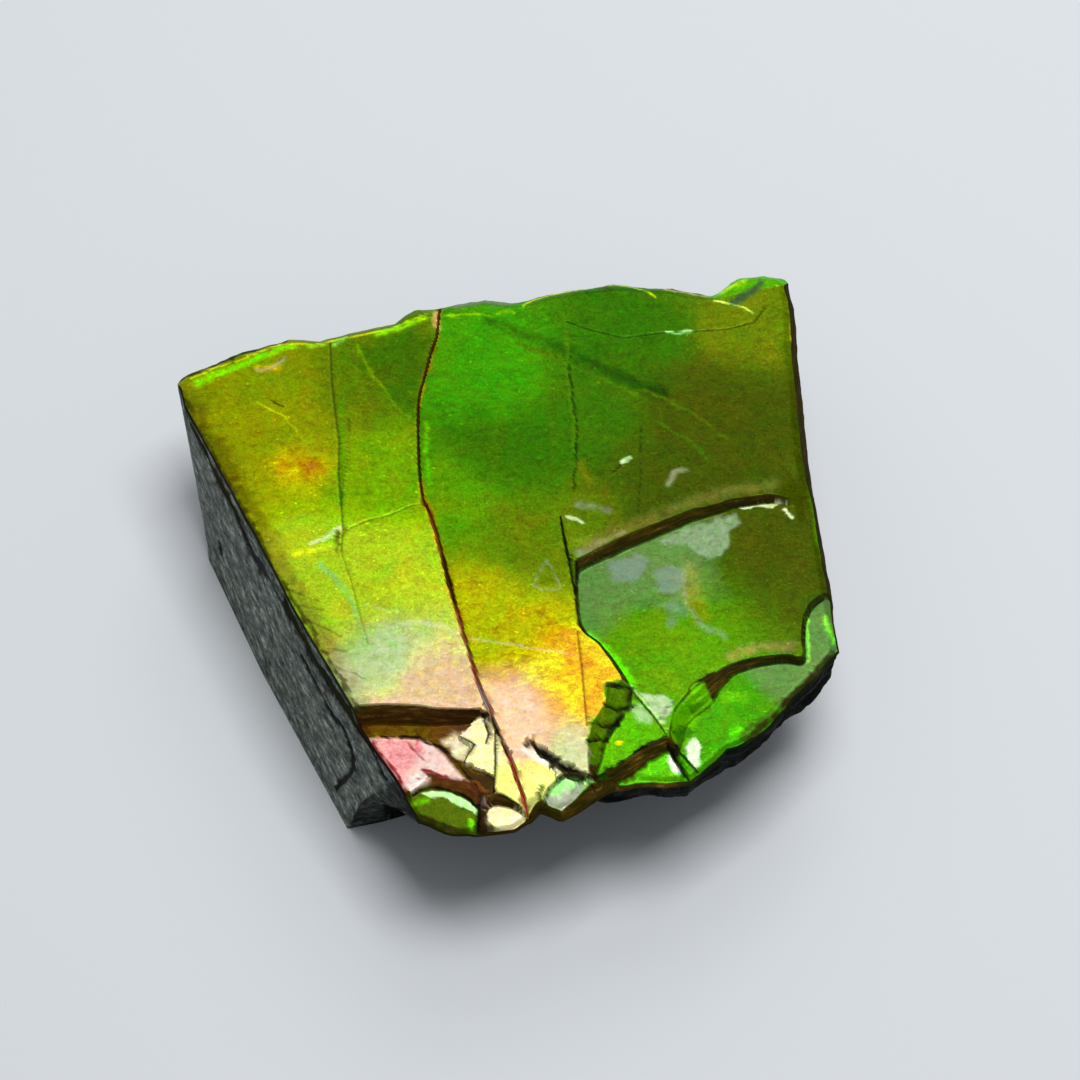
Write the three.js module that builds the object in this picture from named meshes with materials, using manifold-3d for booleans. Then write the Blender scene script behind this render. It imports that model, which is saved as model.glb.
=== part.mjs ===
// Ammolite specimen: a broken piece of iridescent ammonite shell on its bed of dark grey shale.
// Millimetres, +Z up, origin under the middle of the piece on the face it rests on.
// The shell is a slab of nacre that has flaked off in steps. The shale under it is sawn flat
// at the base and along the left side, and broken away under the front.

import * as THREE from 'three';
import { mergeVertices } from 'three/addons/utils/BufferGeometryUtils.js';
import Module from 'manifold-3d';

const wasm = await Module();
wasm.setup();

// ---- Driving dimensions -------------------------------------------------------------------

const BED_Z = 10;          // top of the shale, underside of the shell
const PLATE_Z = 12;        // highest point of the polished upper plate
const MIDDLE_Z = 11.05;    // plate one break deeper, right of the middle
const TERRACE_Z = 11.0;    // terrace under the front left ledge
const LOWER_Z = 10.45;     // lowest plate, along the front right edge

const DOME_CENTRE_X = -1;  // the shell's own curve is highest here
const DOME_ACROSS = 0.0009;  // drop per square millimetre away from the centre, along X
const DOME_ALONG = 0.0007;   // and along Y

const FACET = 1.9;         // width of a facet of the domed plate
const CRACK_WIDTH = 0.3;   // the crack through the upper plate
const CRACK_FLOOR_Z = 11.2;
const SHALE_ROWS = 14;     // rows of facets down the shale's sides
const ROUGHNESS = 0.36;    // how far the broken shale stands in and out
const SET_BACK = 0.3;      // how far the broken shale lies inside its own outline on average
const UNDERCUT_DEPTH = 6.2;  // how far below the shell the undercut reaches the foot's outline
const CLEAR = 3;           // how far a cut reaches past the outside of the slab

// The outline at the shell's underside, counter-clockwise from the back left tip, in stretches:
// rim: the outline at BED_Z; foot: the outline at the base below it; steps: facets along it;
// lean: how far the shell's edge comes inward for each millimetre up; undercut: 0 where the
// shale's side is one flat sawn plane, 1 where it breaks away under a projecting lip; lip: the
// height of that lip below the shell.
const STRETCHES = [
  {
    steps: 16, lean: 0.14, undercut: 0, lip: 0,
    rim: [[-22.25, 12.6], [-21.8, 10.5], [-19.45, 5.7], [-16.7, 0.2], [-13.8, -5.9], [-9.6, -13.5],
      [-7.1, -17.3], [-5.4, -20.4]],
    foot: [[-20.5, 5.0], [-16.5, -4.0], [-10.4, -15.6]],
  },
  {
    steps: 13, lean: 0.3, undercut: 1, lip: 0.6,
    rim: [[-5.4, -20.4], [-4.6, -20.8], [-3.2, -21.3], [-1.5, -21.42], [-0.2, -21.15], [0.8, -21.0],
      [1.9, -20.4], [2.5, -19.8]],
    foot: [[-10.4, -15.6], [-6.4, -14.3], [-1.5, -13.7]],
  },
  {
    steps: 13, lean: 0.95, undercut: 1, lip: 1.9,
    rim: [[2.5, -19.8], [3.9, -20.3], [4.9, -19.8], [6.3, -18.7], [7.2, -18.1], [8.7, -17.75],
      [10.6, -17.8], [12.3, -17.6]],
    foot: [[-1.5, -13.7], [4.0, -13.3], [9.5, -11.8]],
  },
  {
    steps: 14, lean: 0.4, undercut: 1, lip: 2.0,
    rim: [[12.3, -17.6], [12.9, -17.1], [14.7, -15.2], [15.8, -14.7], [17.2, -13.7], [19.1, -11.5],
      [20.9, -9.5], [22.25, -7.8]],
    foot: [[9.5, -11.8], [14.4, -9.2], [18.3, -4.6]],
  },
  {
    steps: 18, lean: 0.32, undercut: 0.6, lip: 1.6,
    rim: [[22.25, -7.8], [21.95, -5.6], [21.8, -2.6], [21.3, 0.8], [20.7, 6.3], [20.4, 10.5],
      [20.1, 15.5], [19.95, 19.2], [19.6, 21.1]],
    foot: [[18.3, -4.6], [19.9, 1.0], [19.7, 10.0], [18.9, 17.6]],
  },
  {
    steps: 30, lean: 0.2, undercut: 0.5, lip: 1.4,
    rim: [[19.6, 21.1], [17.9, 21.42], [16.2, 21.1], [14.5, 19.5], [12.8, 19.6], [11.5, 20.0],
      [9.9, 19.9], [7.5, 20.2], [5.4, 19.8], [3.0, 19.3], [0.5, 18.5], [-1.3, 18.95], [-4.6, 18.1],
      [-6.0, 18.0], [-7.4, 16.9], [-10.2, 16.2], [-12.6, 15.55], [-14.7, 15.7], [-17.7, 14.8],
      [-20.0, 13.6]],
    foot: [[18.9, 17.6], [10.0, 17.6], [0.0, 15.6], [-10.0, 11.4], [-17.0, 8.4]],
  },
];

// Where flakes of nacre have come away. Each brink and foot are walked with the missing flake
// on the left, point for point, and `past` closes the loop outside the slab.
// brinkZ: height of the surface it broke from; floor: [height, slope along X, slope along Y]
// of the surface it bared, as seen at the first point of the foot.
const FLAKES = {
  middle: {
    brinkZ: 12.1, floor: [MIDDLE_Z, -0.012, 0.004],
    brink: [[20.9, 3.0], [18.4, 3.4], [15.2, 2.8], [12.7, 2.2], [10.2, 0.8], [7.6, -0.6],
      [4.8, -2.1], [4.7, -4.8], [4.9, -7.0], [6.2, -8.1], [7.2, -9.6], [8.0, -11.0], [6.9, -11.7],
      [6.8, -12.6], [6.4, -13.4], [5.7, -14.4], [5.4, -16.5], [5.6, -18.3]],
    foot: [[20.9, 2.4], [18.1, 3.1], [15.2, 2.3], [12.8, 1.5], [10.4, 0.3], [8.0, -1.1],
      [5.2, -2.7], [5.1, -4.8], [5.4, -6.7], [6.6, -7.9], [7.6, -9.4], [8.4, -11.2], [8.2, -12.2],
      [7.7, -13.1], [7.3, -13.8], [6.6, -14.6], [6.3, -16.7], [6.0, -18.3]],
    past: [[6.0, -25], [26, -25], [26, 3.0]],
  },
  lowerRight: {
    brinkZ: 11.05, floor: [LOWER_Z, -0.01, 0.02],
    brink: [[22.4, -3.6], [20.6, -4.5], [20.0, -5.6], [19.75, -7.0], [19.6, -8.4], [17.9, -8.3],
      [16.1, -8.6], [14.8, -9.2], [13.8, -9.9], [12.3, -10.9], [11.6, -12.7], [10.8, -14.4]],
    foot: [[22.4, -4.2], [21.0, -4.9], [20.5, -5.8], [20.3, -7.1], [20.1, -8.7], [18.4, -8.8],
      [16.7, -9.2], [15.5, -9.8], [14.5, -10.6], [13.5, -11.4], [12.3, -13.0], [11.2, -14.7]],
    past: [[11.4, -16.4], [12.6, -25], [26, -25], [26, -4.0]],
  },
  frontLeft: {
    brinkZ: 11.85, floor: [TERRACE_Z, 0.01, 0.03],
    brink: [[-1.6, -13.0], [-2.6, -13.1], [-3.9, -13.0], [-5.8, -12.7], [-7.8, -12.6],
      [-9.6, -12.8]],
    foot: [[-1.6, -13.5], [-2.6, -13.8], [-4.0, -13.9], [-5.9, -13.8], [-7.6, -13.6],
      [-9.2, -13.6]],
    past: [[-14, -13.6], [-14, -25], [-1.1, -25], [-1.0, -19.1], [-0.5, -18.7], [-0.6, -17.3],
      [-1.9, -16.8], [-2.5, -16.3], [-2.1, -15.2], [-2.8, -14.4]],
  },
  creamPlate: {
    brinkZ: 11.8, floor: [11.3, 0.02, 0.06],
    brink: [[0.2, -15.4], [-0.3, -14.5], [-0.9, -13.0], [-1.6, -12.95]],
    foot: [[0.1, -15.6], [-0.4, -14.7], [-0.95, -13.5], [-1.6, -13.5]],
    past: [[-3.6, -14.2], [-3.6, -17.0], [-2.6, -18.6], [-1.4, -25], [1.9, -25], [1.7, -20.6],
      [1.1, -18.6]],
  },
  pinkPlate: {
    brinkZ: 11.0, floor: [10.8, 0.0, 0.0],
    brink: [[-1.0, -18.9], [-2.5, -17.3], [-3.4, -16.2], [-4.4, -15.3], [-5.4, -14.6],
      [-8.4, -14.5]],
    foot: [[-1.0, -19.1], [-2.7, -17.5], [-3.6, -16.4], [-4.5, -15.5], [-5.5, -14.8],
      [-8.4, -14.7]],
    past: [[-14, -14.7], [-14, -25], [-0.95, -25]],
  },
  greenLens: {
    brinkZ: 10.8, floor: [10.45, 0.0, 0.06],
    brink: [[-1.35, -19.0], [-2.4, -18.0], [-3.6, -17.7], [-5.0, -17.5], [-6.1, -18.3]],
    foot: [[-1.6, -19.7], [-2.7, -18.9], [-3.9, -18.4], [-5.1, -18.3], [-6.2, -18.8]],
    past: [[-12, -19.2], [-12, -25], [-1.5, -25]],
  },
  nose: {
    brinkZ: 12.1, floor: [11.78, 0.0, 0.23],
    brink: [[3.3, -16.5], [1.8, -16.0], [0.4, -15.9]],
    foot: [[3.3, -16.6], [1.8, -16.1], [0.4, -16.0]],
    past: [[1.2, -19.0], [1.7, -25], [4.5, -25]],
  },
  creamLens: {
    brinkZ: 11.2, floor: [10.5, 0.0, 0.05],
    brink: [[1.5, -20.0], [1.0, -19.4], [0.1, -18.8], [-0.7, -18.6], [-1.0, -19.3]],
    foot: [[1.5, -20.5], [0.9, -19.9], [0.2, -19.5], [-0.6, -19.5], [-1.0, -20.0]],
    past: [[-1.0, -25], [1.5, -25]],
  },
  paleLens: {
    brinkZ: 11.8, floor: [11.2, -0.02, 0.32],
    brink: [[5.6, -18.2], [4.9, -17.7], [4.1, -17.1], [3.2, -16.5], [2.9, -17.4], [2.5, -18.6]],
    foot: [[5.6, -18.4], [4.9, -18.1], [4.0, -17.7], [3.4, -17.2], [3.1, -17.9], [2.7, -18.8]],
    past: [[2.6, -25], [5.8, -25]],
  },
  frontWedge: {
    brinkZ: 11.0, floor: [10.35, 0.03, 0.12],
    brink: [[12.7, -17.1], [10.9, -14.8], [9.6, -15.9], [8.3, -17.0]],
    foot: [[12.6, -17.4], [10.9, -15.4], [9.8, -16.3], [8.6, -17.3]],
    past: [[7.6, -25], [12.8, -25]],
  },
  backRight: {
    brinkZ: 11.6, floor: [11.35, 0.02, -0.22],
    brink: [[13.6, 19.1], [14.6, 18.8], [16.0, 18.7], [16.9, 18.1], [19.9, 18.2]],
    foot: [[13.9, 19.4], [14.8, 19.1], [16.2, 19.0], [17.1, 18.5], [19.9, 18.6]],
    past: [[26, 18.6], [26, 26], [13.8, 26]],
  },
};

// The crack that runs through the upper plate from the back edge to the front tip.
const CRACK = [[-4.6, 19.0], [-4.7, 16.6], [-5.2, 14.3], [-5.8, 10.6], [-5.7, 5.6], [-5.4, 2.4],
  [-4.5, 0.2], [-4.0, -2.4], [-3.0, -7.1], [-2.1, -10.2], [-1.0, -12.7], [-0.1, -14.9],
  [0.8, -17.4], [1.5, -19.8], [1.9, -22.0]];

// ---- Small geometry helpers ----------------------------------------------------------------

// The height of the shell's curved outer surface.
const domeZ = (x, y) => PLATE_Z - DOME_ACROSS * (x - DOME_CENTRE_X) ** 2 - DOME_ALONG * y ** 2;

// `count` points evenly spaced along an open polyline, without its last point.
function alongPolyline(points, count) {
  const path = new THREE.CurvePath();
  for (let i = 1; i < points.length; i++) {
    const from = new THREE.Vector2(...points[i - 1]);
    const to = new THREE.Vector2(...points[i]);
    path.add(new THREE.LineCurve(from, to));
  }
  return Array.from({ length: count }, (_, i) => path.getPointAt(i / count));
}

// Each stretch's points run on to the first point of the next stretch.
function ringOf(which) {
  return STRETCHES.flatMap((stretch, i) => {
    const next = STRETCHES[(i + 1) % STRETCHES.length];
    return alongPolyline([...stretch[which], next[which][0]], stretch.steps);
  });
}

// A value of each stretch, spread over the points of the ring and eased across the corners.
function alongRing(which) {
  const values = STRETCHES.flatMap((stretch) => Array(stretch.steps).fill(stretch[which]));
  const n = values.length;
  const ease = [-2, -1, 0, 1, 2];
  return values.map((_, i) => ease.reduce((sum, k) => sum + values[(i + k + n) % n], 0) / ease.length);
}

// The inward direction at each point of a counter-clockwise ring.
function inwardOf(ring) {
  const n = ring.length;
  return ring.map((_, i) => {
    const along = ring[(i + 1) % n].clone().sub(ring[(i + n - 1) % n]);
    return new THREE.Vector2(-along.y, along.x).normalize();
  });
}

// A closed solid through rings of equal length, lowest first, each point a Vector3.
function loft(rings) {
  const n = rings[0].length;
  const positions = rings.flat().flatMap((p) => [p.x, p.y, p.z]);
  const index = [];
  for (let r = 0; r + 1 < rings.length; r++) {
    for (let i = 0; i < n; i++) {
      const a = r * n + i;
      const b = r * n + (i + 1) % n;
      index.push(a, b, b + n, a, b + n, a + n);
    }
  }
  const last = (rings.length - 1) * n;
  for (const [a, b, c] of THREE.ShapeUtils.triangulateShape(rings[0], [])) {
    index.push(a, c, b);
  }
  for (const [a, b, c] of THREE.ShapeUtils.triangulateShape(rings.at(-1), [])) {
    index.push(last + a, last + b, last + c);
  }
  const geometry = new THREE.BufferGeometry();
  geometry.setAttribute('position', new THREE.Float32BufferAttribute(positions, 3));
  geometry.setIndex(index);
  return geometry;
}

const atHeight = (points, zOf) => points.map((p) => new THREE.Vector3(p.x, p.y, zOf(p.x, p.y)));

function toSolid(geometry) {
  const bare = geometry.clone();
  bare.deleteAttribute('normal');
  bare.deleteAttribute('uv');
  const merged = mergeVertices(bare, 1e-5);
  return new wasm.Manifold(new wasm.Mesh({
    numProp: 3,
    vertProperties: new Float32Array(merged.attributes.position.array),
    triVerts: new Uint32Array(merged.index.array),
  }));
}

function toGeometry(solid) {
  const mesh = solid.getMesh();
  const geometry = new THREE.BufferGeometry();
  geometry.setAttribute('position', new THREE.BufferAttribute(mesh.vertProperties, 3));
  geometry.setIndex(new THREE.BufferAttribute(mesh.triVerts, 1));
  return geometry;
}

// ---- The shell -----------------------------------------------------------------------------

const rim = ringOf('rim');
const inward = inwardOf(rim);
const lean = alongRing('lean');

// The edge of the slab, leaning inward from the rim, to well above the domed surface.
function edgePrism() {
  const top = PLATE_Z + 1;
  const brink = rim.map((p, i) => p.clone().addScaledVector(inward[i], lean[i] * (top - BED_Z)));
  return toSolid(loft([atHeight(rim, () => BED_Z), atHeight(brink, () => top)]));
}

// A block whose upper side is the domed outer surface of the shell.
function domedBlock() {
  const width = 50;
  const depth = BED_Z;
  const across = Math.round(width / FACET);
  const block = new THREE.BoxGeometry(width, width, depth, across, across, 1);
  block.translate(0, 0, depth / 2);
  const position = block.attributes.position;
  for (let i = 0; i < position.count; i++) {
    if (position.getZ(i) > depth / 2) {
      position.setZ(i, domeZ(position.getX(i), position.getY(i)));
    }
  }
  return toSolid(block);
}

// What is gone where a flake has come off: a sloping break from the foot up to the brink.
function flakeSolid({ brinkZ, floor, brink, foot, past }) {
  const [floorZ, slopeX, slopeY] = floor;
  const [x0, y0] = foot[0];
  const floorAt = (x, y) => floorZ + slopeX * (x - x0) + slopeY * (y - y0);
  const points = (list) => [...list, ...past].map(([x, y]) => new THREE.Vector2(x, y));
  const top = PLATE_Z + CLEAR;
  return toSolid(loft([
    atHeight(points(foot), floorAt),
    atHeight(points(brink), () => brinkZ),
    atHeight(points(brink), () => top),
  ]));
}

// The open crack: a thin wall-sided cut that narrows to nothing at its front end.
function crackSolid() {
  const width = (i) => CRACK_WIDTH * Math.min(1, 0.35 + (CRACK.length - 1 - i) / 8) / 2;
  const line = CRACK.map(([x, y]) => new THREE.Vector2(x, y));
  const sideways = line.map((_, i) => {
    const along = line[Math.min(i + 1, line.length - 1)].clone().sub(line[Math.max(i - 1, 0)]);
    return new THREE.Vector2(-along.y, along.x).normalize();
  });
  const right = line.map((p, i) => p.clone().addScaledVector(sideways[i], -width(i)));
  const left = line.map((p, i) => p.clone().addScaledVector(sideways[i], width(i)));
  const outline = [...left, ...right.reverse()];
  const ring = THREE.ShapeUtils.isClockWise(outline) ? outline.reverse() : outline;
  return toSolid(loft([
    atHeight(ring, () => CRACK_FLOOR_Z),
    atHeight(ring, () => PLATE_Z + CLEAR),
  ]));
}

function makeShell() {
  let slab = edgePrism().intersect(domedBlock());
  for (const flake of Object.values(FLAKES)) {
    slab = slab.subtract(flakeSolid(flake));
  }
  return toGeometry(slab.subtract(crackSolid()));
}

// ---- The shale -----------------------------------------------------------------------------

// Relief of broken stone: waves at odd angles, folded so that they meet in ridges, and shallow
// ledges where one bed of the shale breaks further out than the next.
function brokenRelief(s, z) {
  const broad = Math.abs(Math.sin(0.55 * s + 0.35 * z)) + Math.abs(Math.sin(0.31 * s - 0.5 * z + 1.1));
  const fine = Math.abs(Math.sin(1.7 * s + 0.9 * z + 0.4)) * 0.5;
  const ledge = Math.sin(2.4 * z + 0.2 * s) > 0 ? 0.6 : 0;
  return broad + fine + ledge - 1.7;
}

function makeShale() {
  const foot = ringOf('foot');
  const undercut = alongRing('undercut');
  const lip = alongRing('lip');
  const ringAt = (row) => {
    const drop = BED_Z * row / SHALE_ROWS;
    const z = BED_Z - drop;
    const free = row === 0 || row === SHALE_ROWS ? 0 : 1;
    let s = 0;
    return rim.map((p, i) => {
      s += p.distanceTo(rim[(i + 1) % rim.length]);
      const broken = THREE.MathUtils.smoothstep(drop, lip[i], UNDERCUT_DEPTH);
      const back = THREE.MathUtils.lerp(drop / BED_Z, broken, undercut[i]);
      const relief = undercut[i] * free * (SET_BACK + ROUGHNESS * brokenRelief(s, z));
      const at = p.clone().lerp(foot[i], back).addScaledVector(inward[i], relief);
      return new THREE.Vector3(at.x, at.y, z);
    });
  };
  return loft(Array.from({ length: SHALE_ROWS + 1 }, (_, k) => ringAt(SHALE_ROWS - k)));
}

// ---- The specimen --------------------------------------------------------------------------

function addPiece(group, name, geometry, color, roughness, metalness) {
  const material = new THREE.MeshStandardMaterial({ color, roughness, metalness, flatShading: true });
  const mesh = new THREE.Mesh(geometry, material);
  mesh.name = name;
  group.add(mesh);
}

const specimen = new THREE.Group();
addPiece(specimen, 'shale_matrix', makeShale(), 0x2e3033, 0.85, 0);
addPiece(specimen, 'ammolite_layer', makeShell(), 0x6f9a12, 0.25, 0.4);

export default specimen;
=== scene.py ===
# %% [markdown]
# # Ammolite specimen
# Ammolite is the shell of an ammonite that has lain in shale for seventy million years. What is
# left of it is nacre: hundreds of aragonite sheets, each thinner than a wavelength of light, which
# give back one colour where they are thick and another where they are thin. This piece is a slab of
# that shell, about two millimetres thick, on its bed of dark grey shale. Flakes have broken off the
# slab, so plates lie at several heights with dark broken ledges between them.
#
# The solids of the specimen come in as a fixed frame. Both of them are rock-hard and never move, so
# each is replaced by one finely worked surface in the same place.

from math import radians

import bpy
import numpy as np
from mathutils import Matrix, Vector


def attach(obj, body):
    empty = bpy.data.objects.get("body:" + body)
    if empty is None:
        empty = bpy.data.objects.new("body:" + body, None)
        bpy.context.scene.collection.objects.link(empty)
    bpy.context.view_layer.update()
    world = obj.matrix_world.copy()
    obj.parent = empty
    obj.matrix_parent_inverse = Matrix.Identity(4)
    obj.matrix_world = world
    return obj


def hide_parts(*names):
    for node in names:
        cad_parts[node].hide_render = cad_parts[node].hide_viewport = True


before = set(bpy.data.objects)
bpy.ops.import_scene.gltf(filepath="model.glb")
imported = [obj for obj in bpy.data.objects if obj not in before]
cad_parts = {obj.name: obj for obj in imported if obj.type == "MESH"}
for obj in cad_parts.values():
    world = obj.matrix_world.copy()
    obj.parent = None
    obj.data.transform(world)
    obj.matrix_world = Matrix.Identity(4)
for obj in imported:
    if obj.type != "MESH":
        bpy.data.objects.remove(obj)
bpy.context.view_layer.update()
MM = 0.001

# %% [markdown]
# ## The outline
# Seen from above, the slab has four sides: one sawn straight, and three broken. A broken side is a
# line of given corners, and between them it needs the small bites and spurs of a real break.
# They come from value noise: random numbers on a lattice, eased from one lattice point to the next,
# with finer and finer lattices added up. Every later surface uses the same noise.

# %% Noise
def lattice_value(cell, seed):
    """A repeatable random number from 0 to 1 for each whole-numbered lattice point."""
    key = cell[..., 0] * 73856093 ^ cell[..., 1] * 19349663 ^ cell[..., 2] * 83492791
    key = (key ^ seed * 974634777) & 0xFFFFFFFF
    key = ((key ^ key >> 15) * 2246822519) & 0xFFFFFFFF
    key = ((key ^ key >> 13) * 3266489917) & 0xFFFFFFFF
    return (key >> 8) / float(1 << 24)


def noise(points, size, seed=0):
    """Value noise from -1 to 1: the eight corners of each point's lattice cell, `size` mm wide, are
    mixed by how near the point lies to each, eased with 3f^2 - 2f^3."""
    scaled = np.atleast_2d(points) / size
    if scaled.shape[1] == 2:
        scaled = np.column_stack([scaled, np.full(len(scaled), 0.5)])
    cell = np.floor(scaled).astype(np.int64)
    part = scaled - cell
    part = part * part * (3 - 2 * part)
    total = np.zeros(len(scaled))
    for corner in np.ndindex(2, 2, 2):
        weight = np.prod(np.where(corner, part, 1 - part), axis=1)
        total += weight * lattice_value(cell + np.array(corner), seed)
    return 2 * total - 1


def rough(points, size, layers=4, seed=0):
    """Noise of `size` mm plus half as much at half the size, and so on for each layer."""
    return sum(noise(points, size / 2**k, seed + k) / 2**k for k in range(layers))


def ease(value, start, stop):
    """0 before start, 1 after stop, and a smooth 3t^2 - 2t^3 between."""
    t = np.clip((value - start) / (stop - start), 0, 1)
    return t * t * (3 - 2 * t)


print("noise at the origin:", noise(np.zeros((1, 3)), 1.0).round(3))

# %% The four sides
BED_Z = 10.0     # top of the shale, underside of the shell
PLATE_Z = 12.0   # highest point of the upper plate

SAWN_RIM = [[-22.25, 12.6], [-21.8, 10.5], [-19.45, 5.7], [-16.7, 0.2], [-13.8, -5.9],
            [-9.6, -13.5], [-7.1, -17.3], [-5.4, -20.4]]
FRONT_RIM = [[-5.4, -20.4], [-4.6, -20.8], [-3.2, -21.3], [-1.5, -21.42], [-0.2, -21.15],
             [0.8, -21.0], [1.9, -20.4], [2.5, -19.8], [3.9, -20.3], [4.9, -19.8], [6.3, -18.7],
             [7.2, -18.1], [8.7, -17.75], [10.6, -17.8], [12.3, -17.6], [12.9, -17.1],
             [14.7, -15.2], [15.8, -14.7], [17.2, -13.7], [19.1, -11.5], [20.9, -9.5],
             [22.25, -7.8]]
RIGHT_RIM = [[22.25, -7.8], [21.95, -5.6], [21.8, -2.6], [21.3, 0.8], [20.7, 6.3], [20.4, 10.5],
             [20.1, 15.5], [19.95, 19.2], [19.6, 21.1]]
BACK_RIM = [[19.6, 21.1], [17.9, 21.42], [16.2, 21.1], [14.5, 19.5], [12.8, 19.6], [11.5, 20.0],
            [9.9, 19.9], [7.5, 20.2], [5.4, 19.8], [3.0, 19.3], [0.5, 18.5], [-1.3, 18.95],
            [-4.6, 18.1], [-6.0, 18.0], [-7.4, 16.9], [-10.2, 16.2], [-12.6, 15.55],
            [-14.7, 15.7], [-17.7, 14.8], [-20.0, 13.6], [-22.25, 12.6]]

ACROSS = 296      # grid points across the slab, and back to front
ALONG = 288
BITE_SIZE = 1.6   # mm from one bite of the broken edge to the next
FADE_POINTS = 8   # the bites grow to their full depth over so many points


def spread(line, count):
    """`count` points evenly spaced by arc length along a line of corners, ends included."""
    line = np.asarray(line, float)
    length = np.append(0, np.cumsum(np.hypot(*np.diff(line, axis=0).T)))
    at = np.linspace(0, length[-1], count)
    return np.column_stack([np.interp(at, length, line[:, k]) for k in (0, 1)])


def inward(line):
    """The unit direction to the left of the way the line runs, which is into the slab."""
    along = np.gradient(line, axis=0)
    left = np.column_stack([-along[:, 1], along[:, 0]])
    return left / np.hypot(*left.T)[:, None]


def broken_side(corners, count, bite, seed):
    """The evenly spread corners, pushed in and out by noise of up to `bite` mm, but not at its ends."""
    line = spread(corners, count)
    end = np.minimum(np.arange(count), np.arange(count)[::-1]) / FADE_POINTS
    push = bite * rough(line, BITE_SIZE, 4, seed) * np.minimum(1, end)
    return line + inward(line) * push[:, None]


rim = {
    "sawn": broken_side(SAWN_RIM, ALONG, 0.02, 1),
    "front": broken_side(FRONT_RIM, ACROSS, 0.13, 11),
    "right": broken_side(RIGHT_RIM, ALONG, 0.08, 21),
    "back": broken_side(BACK_RIM, ACROSS, 0.11, 31),
}
print({side: line.shape for side, line in rim.items()})

# %% [markdown]
# ## Where flakes have come off
# A flake leaves two lines: the brink, where the surface above breaks off, and the foot, where the
# break reaches the sheet below. Walking along them keeps the missing flake on the left, and the
# third list closes the loop outside the slab. They run close to the lines that the solids were cut
# with. Each bared sheet is a plane: a height at the first point of the foot and two slopes. The tone
# says how brown or black its torn edge is.
#
# With the signed distance to both loops, a point between them knows how far down the break it is,
# so one formula gives every ledge, however its width changes along the way.

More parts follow.
